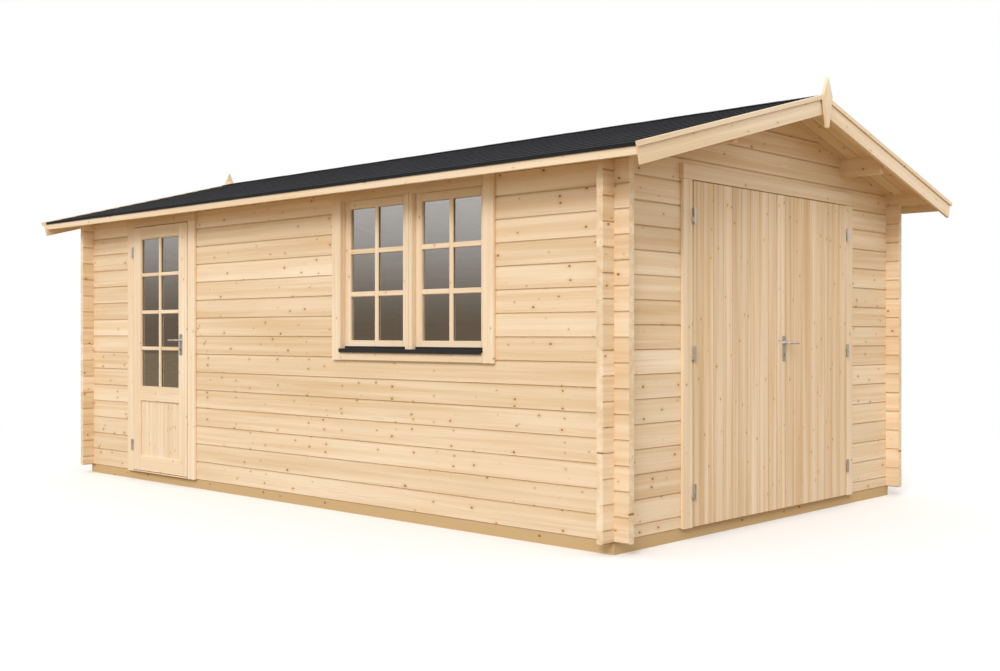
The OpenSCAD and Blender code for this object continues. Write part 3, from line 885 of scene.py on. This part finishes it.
class GARAGE_OT_roof_logs(bpy.types.Operator):
    """Finish the plate logs and purlins"""

    bl_idname = "garage.roof_logs"
    bl_label = "Roof logs"

    def execute(self, context):
        material = spruce("spruce roof logs", streaks=0.52, along="YZX")
        for node in ("left_plate_log", "right_plate_log", "purlin_left", "purlin_right"):
            dress_node(node, material)
        return {"FINISHED"}


class GARAGE_OT_roof_boards(bpy.types.Operator):
    """Lay the tongued boards from the ridge to the eaves"""

    bl_idname = "garage.roof_boards"
    bl_label = "Roof boards"

    def execute(self, context):
        sizes = context.scene.garage_timber
        count = round(2 * ROOF_Y / sizes.roof_board)
        width = 2 * ROOF_Y / count
        reach = (EAVE_X - BOARD_T * math.sin(PITCH)) / math.cos(PITCH)
        for side, label in SIDES:
            timbers = Timbers(20 + side)
            cuts = (middle_cut(side),)
            for i in range(count):
                y0 = -ROOF_Y + i * width
                low, high = (-RIDGE_LAP, y0, 0.0), (reach, y0 + width, BOARD_T)
                timbers.add(low, high, 0, sizes.tongued_edge, cuts, slope_place(side))
            name = "roof_boards_laid_" + label
            timbers.piece(name, roof_spruce(), slot="trim_wood", nodes=["roof_boards_" + label])
        return {"FINISHED"}


class GARAGE_OT_roof_felt(bpy.types.Operator):
    """Lay the felt in courses, with a ridge cap and a drip edge"""

    bl_idname = "garage.roof_felt"
    bl_label = "Roof felt"

    edge = 0.0008
    # The share of a layer's thickness that the underlay takes
    underlay = 0.6

    def execute(self, context):
        sizes = context.scene.garage_roofing
        t = sizes.thickness
        underlay = t * self.underlay
        reach = (FELT_HIGH.x - (BOARD_T + FELT_T) * math.sin(PITCH)) / math.cos(PITCH)
        for side, label in SIDES:
            timbers = Timbers(30 + side)
            place = slope_place(side)
            cuts = (middle_cut(side),)
            under = (reach, ROOF_Y, BOARD_T + underlay)
            timbers.add((-RIDGE_LAP, -ROOF_Y, BOARD_T), under, 1, 0, cuts, place)
            self.drip_edge(timbers, side, t)
            self.courses(timbers, sizes, reach, cuts, place)
            self.ridge_cap(timbers, t, cuts, place)
            nodes = ["roof_felt_" + label]
            timbers.piece("felt_courses_" + label, mineral_felt(), slot="roof_felt", nodes=nodes)
        return {"FINISHED"}

    def drip_edge(self, timbers, side, t):
        """Felt that turns down in front of the fascia"""
        drop, edge = 0.012, 0.0005
        face = FELT_HIGH.x - 0.001
        x0, x1 = sorted((side * (face - t), side * face))
        top = FELT_LOW.z + FELT_T * self.underlay
        timbers.add((x0, -ROOF_Y, FELT_LOW.z - drop), (x1, ROOF_Y, top), 1, edge)

    def courses(self, timbers, sizes, reach, cuts, place):
        """Strips that lap the course below, each row shifted along the roof"""
        lap = sizes.course + 0.02
        shift, gap, shortest = 0.382, 0.0015, 0.01
        tilt = math.atan2(FELT_T - sizes.thickness, lap)
        for row in range(math.ceil(reach / sizes.course)):
            low_edge = Matrix.Translation((reach - row * sizes.course, 0.0, BOARD_T + FELT_T))
            tipped = place @ low_edge @ Matrix.Rotation(-tilt, 4, "Y")
            y = -ROOF_Y - (row * shift % 1.0) * sizes.strip
            while y < ROOF_Y:
                y0, y1 = max(y, -ROOF_Y), min(y + sizes.strip, ROOF_Y)
                if y1 - y0 > shortest:
                    low, high = (-lap, y0, -sizes.thickness), (0.0, y1 - gap, 0.0)
                    timbers.add(low, high, 1, self.edge, cuts, tipped)
                y += sizes.strip

    def ridge_cap(self, timbers, t, cuts, place):
        """Short pieces over the ridge, every second one a little higher"""
        length, width, gap, lift = 0.30, 0.11, 0.002, 0.3
        count = round(2 * ROOF_Y / length)
        for i in range(count):
            y0 = -ROOF_Y + 2 * ROOF_Y * i / count
            y1 = y0 + 2 * ROOF_Y / count - gap
            top = BOARD_T + FELT_T + t * (1.0 + lift * (i % 2))
            timbers.add((-RIDGE_LAP, y0, top - t), (width, y1, top), 1, self.edge, cuts, place)


def verge_feet():
    """How far the bargeboards and their laths run down the slope"""
    c, s = math.cos(PITCH), math.sin(PITCH)
    barge_in, lath_out = 0.013, 0.012
    barge_x = FELT_HIGH.x - barge_in
    lath_x = barge_x + (BARGE_H - LATH_H) * s + lath_out
    return (barge_x + (BARGE_H - BARGE_UP) * s) / c, (lath_x - (BARGE_UP - LATH_H) * s) / c


class GARAGE_OT_bargeboards(bpy.types.Operator):
    """Fit the bargeboards at both gables"""

    bl_idname = "garage.bargeboards"
    bl_label = "Bargeboards"

    def execute(self, context):
        edge = context.scene.garage_timber.board_edge
        foot = verge_feet()[0]
        over_ridge = 0.06
        for end, seed in (("front", 40), ("rear", 47)):
            for side, label in SIDES:
                node = "%s_barge_%s" % (end, label)
                low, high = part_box(node)
                first = (-over_ridge, low.y, BARGE_UP - BARGE_H)
                last = (foot, high.y, BARGE_UP)
                timbers = Timbers(seed + side)
                timbers.add(first, last, 0, edge, (middle_cut(side),), slope_place(side))
                timbers.trim(node + "_board", node)
        return {"FINISHED"}


class GARAGE_OT_verge_laths(bpy.types.Operator):
    """Fit the laths along the upper edges of the bargeboards"""

    bl_idname = "garage.verge_laths"
    bl_label = "Verge laths"

    def execute(self, context):
        edge = context.scene.garage_timber.board_edge
        foot = verge_feet()[1]
        low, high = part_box("verge_laths")
        laths = Timbers(50)
        over_ridge, half_gap = 0.02, 0.002
        for side, _ in SIDES:
            cuts = (middle_cut(side, half_gap),)
            for y0, y1 in ((low.y, low.y + LATH_T), (high.y - LATH_T, high.y)):
                first, last = (-over_ridge, y0, BARGE_UP - LATH_H), (foot, y1, BARGE_UP)
                laths.add(first, last, 0, edge, cuts, slope_place(side))
        laths.trim("verge_lath_strips", "verge_laths")
        return {"FINISHED"}


class GARAGE_OT_fascias(bpy.types.Operator):
    """Fit the fascias along the eaves"""

    bl_idname = "garage.fascias"
    bl_label = "Eave fascias"

    def execute(self, context):
        edge = context.scene.garage_timber.board_edge
        for side, label in SIDES:
            node = "eave_fascia_" + label
            low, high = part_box(node)
            fascia = Timbers(55 + side)
            rise = BOARDS_HIGH.z - RIDGE_Z
            fascia.add(tuple(low), tuple(high), 1, edge, (slope_cut(side, rise),))
            fascia.trim(node + "_board", node)
        return {"FINISHED"}


class GARAGE_OT_finials(bpy.types.Operator):
    """Finish the diamond finials"""

    bl_idname = "garage.finials"
    bl_label = "Finials"

    def execute(self, context):
        tint = (1.02, 1.03, 1.06)
        material = spruce("spruce finials", tint, streaks=0.36, knots=0.006, along="ZXY")
        dress_node("finials", material)
        return {"FINISHED"}


class GARAGE_OT_nails(bpy.types.Operator):
    """Drive the nails of the bargeboards and fascias"""

    bl_idname = "garage.nails"
    bl_label = "Nails"

    def execute(self, context):
        barge_radius, fascia_radius, proud, spacing = 0.0035, 0.0032, 0.0008, 0.6
        nails = []
        for end, way in (("front", -1.0), ("rear", 1.0)):
            for side, label in SIDES:
                low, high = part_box("%s_barge_%s" % (end, label))
                face = low.y if way < 0 else high.y
                for down in (0.12, 0.55, 0.97, 1.40, 1.90):
                    for up in (-0.062, -0.018):
                        spot = slope_place(side) @ Vector((down, face, up))
                        nails.append(disc(spot, Vector((0.0, way, 0.0)), barge_radius, proud))
        for side, label in SIDES:
            low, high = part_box("eave_fascia_" + label)
            face = high.x if side > 0 else low.x
            y = low.y + 0.25
            while y < high.y:
                for up in (0.016, 0.040):
                    spot = Vector((face, y, low.z + up))
                    nails.append(disc(spot, Vector((side, 0, 0)), fascia_radius, proud))
                y += spacing
        verts, faces = join_parts(nails)
        make_piece("verge_nails", verts, faces, brushed_steel(), BODY)
        return {"FINISHED"}


class FrameSizes:
    """Boards around a door, drawn in u along the wall, v into it, and z"""

    jamb = 0.042
    casing = 0.095
    casing_t = 0.024
    head_h = 0.090
    head_out = 0.006
    lap = 0.010
    stop = 0.015
    leaf_back = 0.019
    jamb_back = 0.065
    step_h = 0.010
    step_out = 0.028


def door_frame(timbers, place, c, top, edge):
    """Jambs, stops and casing around a clear opening 2 c wide, up to top"""
    f = FrameSizes
    z0 = WALL_Z
    inner = top - f.stop
    for side, _ in SIDES:
        turned = place @ mirrored(side)
        timbers.add((c, 0.0, z0), (c + f.jamb, f.jamb_back, top), 2, edge, place=turned)
        timbers.add((c - f.stop, f.leaf_back, z0), (c, f.jamb_back, inner), 2, edge, place=turned)
        face, side_end = (c, -f.casing_t, z0), (c + f.casing, 0.0, top)
        timbers.add(face, side_end, 2, CASING_EDGE, place=turned)
    head = c + f.jamb
    timbers.add((-head, 0.0, top), (head, f.jamb_back, top + f.jamb), 0, edge, place=place)
    timbers.add((-c, f.leaf_back, inner), (c, f.jamb_back, top), 0, edge, place=place)
    out = c + f.casing + f.lap
    over = (-out, -f.casing_t - f.head_out, top)
    timbers.add(over, (out, 0.0, top + f.head_h), 0, CASING_EDGE, place=place)


class GARAGE_OT_garage_frame(bpy.types.Operator):
    """Build the garage door's frame and casing"""

    bl_idname = "garage.garage_frame"
    bl_label = "Garage door frame"

    def execute(self, context):
        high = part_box("garage_door_frame")[1]
        f = FrameSizes
        timbers = Timbers(60, 0.7)
        c = high.x - f.lap - f.casing
        edge = context.scene.garage_timber.board_edge
        door_frame(timbers, on_front(), c, high.z - f.head_h, edge)
        timbers.trim("garage_frame_boards", "garage_door_frame")
        return {"FINISHED"}


class GARAGE_OT_side_frame(bpy.types.Operator):
    """Build the side door's frame, casing and threshold"""

    bl_idname = "garage.side_frame"
    bl_label = "Side door frame"

    def execute(self, context):
        low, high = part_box("side_door_frame")
        f = FrameSizes
        c = (high.y - low.y) / 2 - f.lap - f.casing
        timbers = Timbers(61, 0.7)
        place = on_left((low.y + high.y) / 2)
        edge = context.scene.garage_timber.board_edge
        door_frame(timbers, place, c, high.z - f.head_h, edge)
        step = (c, f.jamb_back, WALL_Z + f.step_h)
        timbers.add((-c, -f.step_out, WALL_Z), step, 0, edge, place=place)
        timbers.trim("side_frame_boards", "side_door_frame")
        return {"FINISHED"}


def tongued(timbers, box, count, edge, place):
    """Upright tongued boards side by side in a box of u, v and z limits"""
    u0, u1, v0, v1, z0, z1 = box
    width = (u1 - u0) / count
    for i in range(count):
        a = u0 + i * width
        timbers.add((a, v0, z0), (a + width, v1, z1), 2, edge, place=place)


def glazing_bars(timbers, place, u, v, z, bar, levels, edge):
    """One upright bar and some level ones between the limits u, v and z"""
    middle = (u[0] + u[1]) / 2 - bar / 2
    timbers.add((middle, v[0], z[0]), (middle + bar, v[1], z[1]), 2, edge, place=place)
    for level in levels:
        for u0, u1 in ((u[0], middle), (middle + bar, u[1])):
            timbers.add((u0, v[0], level), (u1, v[1], level + bar), 0, edge, place=place)


class GARAGE_OT_garage_leaves(bpy.types.Operator):
    """Build the two garage door leaves"""

    bl_idname = "garage.garage_leaves"
    bl_label = "Garage door leaves"

    board_t = 0.020
    rail = 0.120
    brace_half = 0.042

    def execute(self, context):
        sizes = context.scene.garage_timber
        edge = sizes.board_edge
        board_t, rail = self.board_t, self.rail
        for side, label in SIDES:
            node = "garage_door_" + label
            low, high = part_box(node)
            w, back, h = high - low
            gap = low.x if side > 0 else -high.x
            place = Matrix.Translation((side * gap, low.y, low.z)) @ mirrored(side)
            timbers = Timbers(70 + side)
            box = (0.0, w, 0.0, board_t, 0.0, h)
            tongued(timbers, box, sizes.leaf_boards, sizes.tongued_edge, place)
            for u in (0.0, w - rail):
                timbers.add((u, board_t, 0.0), (u + rail, back, h), 2, edge, place=place)
            mid = h / 2 - rail / 2
            for z in (0.0, mid, h - rail):
                timbers.add((rail, board_t, z), (w - rail, back, z + rail), 0, edge, place=place)
            for z in (rail, mid + rail):
                self.brace(timbers, place, (rail, z + mid - rail), (w - rail, z), back, edge)
            name = "garage_leaf_boards_" + label
            timbers.piece(name, leaf_spruce(), LEAF_BODIES[side], "door_wood", [node])
        return {"FINISHED"}

    def brace(self, timbers, place, start, end, back, edge):
        """A sloping brace, cut to the frame around it"""
        over = 0.1
        dx, dz = end[0] - start[0], end[1] - start[1]
        length = math.hypot(dx, dz)
        lean = Matrix.Rotation(math.atan2(-dz, dx), 4, "Y")
        turned = place @ Matrix.Translation((start[0], 0.0, start[1])) @ lean
        limits = (
            ((start[0], 0.0, 0.0), (-1.0, 0.0, 0.0)),
            ((end[0], 0.0, 0.0), (1.0, 0.0, 0.0)),
            ((0.0, 0.0, start[1]), (0.0, 0.0, 1.0)),
            ((0.0, 0.0, end[1]), (0.0, 0.0, -1.0)),
        )
        cuts = [(place @ Vector(p), place.to_3x3() @ Vector(n)) for p, n in limits]
        low = (-over, self.board_t, -self.brace_half)
        timbers.add(low, (length + over, back, self.brace_half), 0, edge, cuts, turned)


class GARAGE_OT_side_leaf(bpy.types.Operator):
    """Build the glazed side door's leaf"""

    bl_idname = "garage.side_leaf"
    bl_label = "Side door leaf"

    def execute(self, context):
        sizes = context.scene.garage_timber
        low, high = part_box("side_door_leaf")
        pane_low, pane_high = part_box("side_door_glass")
        t, w, h = high - low
        stile = pane_low.y - low.y
        foot, panel_top, panel_v, panel_edge = 0.120, 0.575, (0.012, 0.030), 0.0025
        glass0, glass1 = pane_low.z - low.z, pane_high.z - low.z
        bar_levels, bar_edge = (0.991, 1.288, 1.594), 0.006
        bead, bead_edge = 0.010, 0.004
        # u runs from the free edge, v in from the outer face
        turn = Matrix.Rotation(-math.pi / 2, 4, "Z") @ mirrored(-1)
        place = Matrix.Translation(low) @ turn
        timbers = Timbers(80, 0.6)
        edge = sizes.board_edge
        for u in (0.0, w - stile):
            timbers.add((u, 0.0, 0.0), (u + stile, t, h), 2, edge, place=place)
        for z0, z1 in ((0.0, foot), (panel_top, glass0), (glass1, h)):
            timbers.add((stile, 0.0, z0), (w - stile, t, z1), 0, edge, place=place)
        box = (stile, w - stile, *panel_v, foot, panel_top)
        tongued(timbers, box, sizes.panel_boards, panel_edge, place)
        # Bars and beads on both faces of the panes, clear of them by a gap
        gap = 0.003
        for v0, v1 in ((gap, t / 2 - gap), (t / 2 + gap, t - gap)):
            limits = (stile, w - stile), (v0, v1), (glass0, glass1)
            glazing_bars(timbers, place, *limits, sizes.bar, bar_levels, bar_edge)
            for u in (stile, w - stile - bead):
                low_end, high_end = (u, v0, glass0), (u + bead, v1, glass1)
                timbers.add(low_end, high_end, 2, bead_edge, place=place)
            for z in (glass0, glass1 - bead):
                low_end, high_end = (stile, v0, z), (w - stile, v1, z + bead)
                timbers.add(low_end, high_end, 0, bead_edge, place=place)
        timbers.trim("side_leaf_boards", "side_door_leaf", body="side_leaf")
        return {"FINISHED"}


class WindowSizes:
    """Boards of the window, drawn in u along the wall, v into it, and z"""

    casing_t = 0.024
    lining = 0.030
    back = 0.065
    post = 0.070
    post_out = 0.012
    groove = 0.001
    foot = 0.012
    foot_in = 0.020
    stile = 0.055
    sash = (0.020, 0.060)
    bars = ((0.023, 0.037), (0.043, 0.057))
    bar_middles = (1.477, 1.763)


class GARAGE_OT_window_frame(bpy.types.Operator):
    """Build the window's frame, casing and post"""

    bl_idname = "garage.window_frame"
    bl_label = "Window frame"

    def execute(self, context):
        edge = context.scene.garage_timber.board_edge
        low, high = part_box("window_frame")
        sash_low, sash_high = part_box("window_sashes")
        place = on_left((low.y + high.y) / 2)
        f = WindowSizes
        c = (sash_high.y - sash_low.y) / 2
        out = (high.y - low.y) / 2
        z0, z1 = sash_low.z, sash_high.z
        timbers = Timbers(90, 0.6)
        for side, _ in SIDES:
            turned = place @ mirrored(side)
            lining = (c, 0.0, z0 - f.lining), (c + f.lining, f.back, z1 + f.lining)
            post = (f.groove, -f.post_out, z0), (f.post / 2, f.back, z1)
            casing = (c, -f.casing_t, low.z), (out, 0.0, high.z)
            timbers.add(*casing, 2, CASING_EDGE, place=turned)
            timbers.add(*lining, 2, edge, place=turned)
            # The post is two upright boards with a groove between them
            timbers.add(*post, 2, CASING_EDGE, place=turned)
        for first, last, chamfer in (
            ((-c, -f.casing_t, z1), (c, 0.0, high.z), CASING_EDGE),
            ((-c, -f.casing_t, low.z), (c, 0.0, z0 - f.foot), CASING_EDGE),
            ((-c, 0.0, z1), (c, f.back, z1 + f.lining), edge),
            ((-c, 0.0, z0 - f.lining), (c, f.back, z0 - f.foot), edge),
            ((-c, f.foot_in, z0 - f.foot), (c, f.back, z0), edge),
        ):
            timbers.add(first, last, 0, chamfer, place=place)
        timbers.trim("window_frame_boards", "window_frame")
        return {"FINISHED"}


class GARAGE_OT_window_sashes(bpy.types.Operator):
    """Build the window's two sashes and their bars"""

    bl_idname = "garage.window_sashes"
    bl_label = "Window sashes"

    def execute(self, context):
        bar = context.scene.garage_timber.window_bar
        frame_low, frame_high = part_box("window_frame")
        low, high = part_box("window_sashes")
        f = WindowSizes
        stile, edge, bar_edge = f.stile, 0.004, 0.007
        v0, v1 = f.sash
        z0, z1 = low.z, high.z
        w = (high.y - low.y) / 2 - f.post / 2
        levels = [middle - bar / 2 for middle in f.bar_middles]
        place = on_left((frame_low.y + frame_high.y) / 2)
        sashes = Timbers(91, 0.6)
        for side, _ in SIDES:
            turned = place @ mirrored(side) @ Matrix.Translation((f.post / 2, 0.0, 0.0))
            for u in (0.0, w - stile):
                sashes.add((u, v0, z0), (u + stile, v1, z1), 2, edge, place=turned)
            for z in (z0, z1 - stile):
                sashes.add((stile, v0, z), (w - stile, v1, z + stile), 0, edge, place=turned)
            for depth in f.bars:
                limits = (stile, w - stile), depth, (z0 + stile, z1 - stile)
                glazing_bars(sashes, turned, *limits, bar, levels, bar_edge)
        sashes.trim("window_sash_bars", "window_sashes")
        return {"FINISHED"}


class GARAGE_OT_window_sill(bpy.types.Operator):
    """Fold the sill capping, down in front and up at the sashes' foot"""

    bl_idname = "garage.window_sill"
    bl_label = "Window sill"

    def execute(self, context):
        low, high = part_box("window_sill")
        front_t, back_t, drop, rise, edge = 0.004, 0.003, 0.014, 0.016, 0.001
        front = low.x + front_t
        sill = Timbers(92)
        sill.add((low.x, low.y, low.z - drop), (front, high.y, high.z), 1, edge)
        sill.add((front, low.y, low.z), (high.x, high.y, high.z), 1, edge)
        sill.add((high.x - back_t, low.y, high.z), (high.x, high.y, high.z + rise), 1, edge)
        name = "window_sill_capping"
        sill.piece(name, painted_sill(), slot="sill_metal", nodes=["window_sill"])
        return {"FINISHED"}


class GARAGE_OT_glass(bpy.types.Operator):
    """Glaze the window and the side door"""

    bl_idname = "garage.glass"
    bl_label = "Glass"

    def execute(self, context):
        for node in ("window_glass", "side_door_glass"):
            dress_node(node, pane_glass())
        return {"FINISHED"}


class GARAGE_OT_hinges(bpy.types.Operator):
    """Finish the hinges and their pins"""

    bl_idname = "garage.hinges"
    bl_label = "Hinges"

    def execute(self, context):
        nodes = ("garage_hinges_left", "garage_hinges_right", "side_door_hinges", "hinge_pins")
        for node in nodes:
            dress_node(node, brushed_steel())
        return {"FINISHED"}


# Each door's name, its handle's and leaf's bodies, the way out of it, and its lever's way
DOORS = (
    ("garage", "garage_handle", "garage_leaf_right", Vector((0, -1, 0)), Vector((1, 0, 0))),
    ("side_door", "side_handle", "side_leaf", Vector((-1, 0, 0)), Vector((0, 1, 0))),
)


def lock_centre(name):
    """The middle of a door's lock plates, at its lever's height"""
    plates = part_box(name + "_lock_plates")
    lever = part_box(name + "_lever")
    centre = (plates[0] + plates[1]) / 2
    centre.z = (lever[0].z + lever[1].z) / 2
    return centre


def half_depth(node, outward):
    """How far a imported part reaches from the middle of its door"""
    low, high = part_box(node)
    return abs((high - low).dot(outward)) / 2


def lever_path(axis, outward, arm, stand):
    """From the plate out along the axis, and round into the arm"""
    bend, steps = 0.014, 7
    centre = axis + outward * (stand - bend) + arm * bend
    points = [axis + outward * 0.001, axis + outward * (stand - bend)]
    for i in range(1, steps + 1):
        turn = math.radians(90.0 * i / steps)
        points.append(centre + outward * bend * math.sin(turn) - arm * bend * math.cos(turn))
    points.append(axis + outward * stand + arm * (LEVER_REACH - 0.004))
    return points


def keyhole(hole, outward, arm):
    """A dark round hole and the slot under it, drawn as a near-black disc and block proud of the
    plate: painted shade for the hole
    """
    radius, half, drop, proud = 0.0052, 0.0022, 0.015, 0.0006
    slot = []
    for depth in (0.0, proud):
        for a, z in ((-half, 0.0), (half, 0.0), (half, -drop), (-half, -drop)):
            slot.append(tuple(hole + outward * depth + arm * a + Vector((0, 0, z))))
    sides = [[4, 5, 6, 7], [3, 2, 1, 0], [0, 1, 5, 4], [1, 2, 6, 5], [2, 3, 7, 6], [3, 0, 4, 7]]
    return [disc(hole, outward, radius, proud, 20), (slot, sides)]


class GARAGE_OT_levers(bpy.types.Operator):
    """Fit the levers on both faces of the doors"""

    bl_idname = "garage.levers"
    bl_label = "Levers"

    def execute(self, context):
        for name, body, _, outward, arm in DOORS:
            centre = lock_centre(name)
            face = half_depth(name + "_lock_plates", outward)
            stand = half_depth(name + "_lever", outward) - LEVER_RADIUS - face
            bars = []
            for out in (outward, -outward):
                bars.append(tube(lever_path(centre + out * face, out, arm, stand), LEVER_RADIUS))
            verts, faces = join_parts(bars)
            nodes = [name + "_lever"]
            bar_name = name + "_lever_bars"
            piece = make_piece(bar_name, verts, faces, brushed_steel(), body, nodes)
            piece.data.shade_smooth()
        return {"FINISHED"}


class GARAGE_OT_locks(bpy.types.Operator):
    """Finish the lock plates, and add the levers' roses and the keyholes"""

    bl_idname = "garage.locks"
    bl_label = "Locks"

    def execute(self, context):
        key_up = 0.045
        rose_radius, rose_proud, rose_sides = 0.0135, 0.0035, 28
        for name, _, leaf, outward, arm in DOORS:
            plates = name + "_lock_plates"
            dress_node(plates, brushed_steel())
            centre = lock_centre(name)
            face = half_depth(plates, outward)
            hole = Vector((centre.x, centre.y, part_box(plates)[0].z + key_up))
            roses = []
            holes = []
            for out in (outward, -outward):
                start = centre + out * face
                roses.append(disc(start, out, rose_radius, rose_proud, rose_sides))
                holes += keyhole(hole + out * face, out, arm)
            verts, faces = join_parts(roses)
            make_piece(name + "_lever_roses", verts, faces, brushed_steel(), leaf)
            # The keyholes are painted shade, dark pieces on the plates where the holes are
            verts, faces = join_parts(holes)
            make_piece(name + "_keyholes", verts, faces, painted_keyhole_shade(), leaf)
        return {"FINISHED"}


# ---- stage -----------------------------------------------------------------------------


class GARAGE_OT_stage(bpy.types.Operator):
    """Set the pale floor, the soft light, the white surround and the camera"""

    bl_idname = "garage.stage"
    bl_label = "Stage"

    def execute(self, context):
        scene = context.scene
        self.floor(scene)
        self.surround(scene)
        key = bpy.data.lights.new("soft_sun", "SUN")
        key.energy = 1.46
        key.angle = math.radians(24.0)
        lamp = bpy.data.objects.new("soft_sun", key)
        scene.collection.objects.link(lamp)
        from_sun = Vector((-0.747, -0.36, 0.56))
        lamp.rotation_euler = from_sun.to_track_quat("Z", "Y").to_euler()
        camera = bpy.data.cameras.new("view")
        camera.lens = 42.79
        camera.sensor_width = 36.0
        camera.shift_y = -0.00171
        camera.clip_end = 200.0
        holder = bpy.data.objects.new("view", camera)
        scene.collection.objects.link(holder)
        holder.location = (-6.840, -6.876, 1.211)
        holder.rotation_euler = (math.radians(90.0), 0.0, math.radians(-46.82))
        scene.camera = holder
        scene.view_settings.view_transform = "Standard"
        return {"FINISHED"}

    def floor(self, scene):
        mesh = bpy.data.meshes.new("floor")
        r = 60.0
        mesh.from_pydata([(-r, -r, 0), (r, -r, 0), (r, r, 0), (-r, r, 0)], [], [(0, 1, 2, 3)])
        material, tree, shader = new_material("pale floor")
        sight = add_node(tree, "ShaderNodeLightPath")
        bounced, plain = (0.32, 0.25, 0.16, 1), (0.93, 0.93, 0.93, 1)
        seen = blend_colour(tree, sight.outputs["Is Camera Ray"], bounced, plain)
        tree.links.new(seen, shader.inputs["Base Color"])
        shader.inputs["Roughness"].default_value = 0.9
        shader.inputs["Specular IOR Level"].default_value = 0.0
        white = add_node(tree, "ShaderNodeEmission")
        place = add_node(tree, "ShaderNodeTexCoord")
        far = add_node(tree, "ShaderNodeVectorMath", operation="LENGTH")
        tree.links.new(place.outputs["Object"], far.inputs[0])
        fade_from, fade_to = 3.6, 8.0
        fade = ramp(tree, far.outputs["Value"], fade_from, fade_to)
        fade = calc(tree, "MULTIPLY", fade, sight.outputs["Is Camera Ray"])
        join = add_node(tree, "ShaderNodeMixShader")
        tree.links.new(fade, join.inputs[0])
        tree.links.new(shader.outputs[0], join.inputs[1])
        tree.links.new(white.outputs[0], join.inputs[2])
        tree.links.new(join.outputs[0], tree.nodes["Material Output"].inputs[0])
        mesh.materials.append(material)
        plane = bpy.data.objects.new("floor", mesh)
        scene.collection.objects.link(plane)

    def surround(self, scene):
        world = bpy.data.worlds.new("surround")
        scene.world = world
        world.use_nodes = True
        tree = world.node_tree
        tree.nodes.clear()
        sight = add_node(tree, "ShaderNodeLightPath")
        direct = calc(
            tree,
            "MAXIMUM",
            calc(tree, "MAXIMUM", sight.outputs["Is Camera Ray"], sight.outputs["Is Glossy Ray"]),
            sight.outputs["Is Transmission Ray"],
        )
        light = add_node(tree, "ShaderNodeBackground")
        light.inputs["Strength"].default_value = 1.02
        light.inputs["Color"].default_value = (1.0, 1.0, 1.0, 1.0)
        white = add_node(tree, "ShaderNodeBackground")
        # Gloss shows dim ground and trees low down, and white sky above them
        way = add_node(tree, "ShaderNodeTexCoord")
        parts = add_node(tree, "ShaderNodeSeparateXYZ")
        tree.links.new(way.outputs["Generated"], parts.inputs[0])
        rise = ramp(tree, parts.outputs[2], 0.0, 0.13)
        ground, sky = (0.27, 0.21, 0.15, 1.0), (1.0, 0.98, 0.95, 1.0)
        dim = blend_colour(tree, rise, ground, sky)
        seen = blend_colour(tree, sight.outputs["Is Camera Ray"], dim, (1.0, 1.0, 1.0, 1.0))
        tree.links.new(seen, white.inputs["Color"])
        join = add_node(tree, "ShaderNodeMixShader")
        tree.links.new(direct, join.inputs[0])
        tree.links.new(light.outputs[0], join.inputs[1])
        tree.links.new(white.outputs[0], join.inputs[2])
        out = add_node(tree, "ShaderNodeOutputWorld")
        tree.links.new(join.outputs[0], out.inputs[0])


STEPS = (
    GARAGE_OT_left_wall,
    GARAGE_OT_right_wall,
    GARAGE_OT_gable_walls,
    GARAGE_OT_base,
    GARAGE_OT_roof_logs,
    GARAGE_OT_roof_boards,
    GARAGE_OT_roof_felt,
    GARAGE_OT_bargeboards,
    GARAGE_OT_verge_laths,
    GARAGE_OT_fascias,
    GARAGE_OT_finials,
    GARAGE_OT_nails,
    GARAGE_OT_garage_frame,
    GARAGE_OT_side_frame,
    GARAGE_OT_garage_leaves,
    GARAGE_OT_side_leaf,
    GARAGE_OT_window_frame,
    GARAGE_OT_window_sashes,
    GARAGE_OT_window_sill,
    GARAGE_OT_glass,
    GARAGE_OT_hinges,
    GARAGE_OT_levers,
    GARAGE_OT_locks,
    GARAGE_OT_stage,
)
GROUPS = (
    ("garage_timber", GarageTimber),
    ("garage_roofing", GarageRoofing),
    ("garage_finish", GarageFinish),
)


class GARAGE_PT_panel(bpy.types.Panel):
    """Sizes, colours and steps of the wooden garage"""

    bl_idname = "GARAGE_PT_panel"
    bl_label = "Wooden garage"
    bl_space_type = "VIEW_3D"
    bl_region_type = "UI"
    bl_category = "Garage"

    def draw(self, context):
        layout = self.layout
        for name, group in GROUPS:
            box = layout.box()
            for key in group.__annotations__:
                box.prop(getattr(context.scene, name), key)
        for step in STEPS:
            layout.operator(step.bl_idname)


def register():
    for name, group in GROUPS:
        bpy.utils.register_class(group)
        setattr(bpy.types.Scene, name, bpy.props.PointerProperty(type=group))
    for step in STEPS:
        bpy.utils.register_class(step)
    bpy.utils.register_class(GARAGE_PT_panel)


def unregister():
    bpy.utils.unregister_class(GARAGE_PT_panel)
    for step in reversed(STEPS):
        bpy.utils.unregister_class(step)
    for name, group in reversed(GROUPS):
        delattr(bpy.types.Scene, name)
        bpy.utils.unregister_class(group)


def main():
    register()
    bpy.ops.garage.left_wall()
    bpy.ops.garage.right_wall()
    bpy.ops.garage.gable_walls()
    bpy.ops.garage.base()
    bpy.ops.garage.roof_logs()
    bpy.ops.garage.roof_boards()
    bpy.ops.garage.roof_felt()
    bpy.ops.garage.bargeboards()
    bpy.ops.garage.verge_laths()
    bpy.ops.garage.fascias()
    bpy.ops.garage.finials()
    bpy.ops.garage.nails()
    bpy.ops.garage.garage_frame()
    bpy.ops.garage.side_frame()
    bpy.ops.garage.garage_leaves()
    bpy.ops.garage.side_leaf()
    bpy.ops.garage.window_frame()
    bpy.ops.garage.window_sashes()
    bpy.ops.garage.window_sill()
    bpy.ops.garage.glass()
    bpy.ops.garage.hinges()
    bpy.ops.garage.levers()
    bpy.ops.garage.locks()
    bpy.ops.garage.stage()


if __name__ == "__main__":
    main()
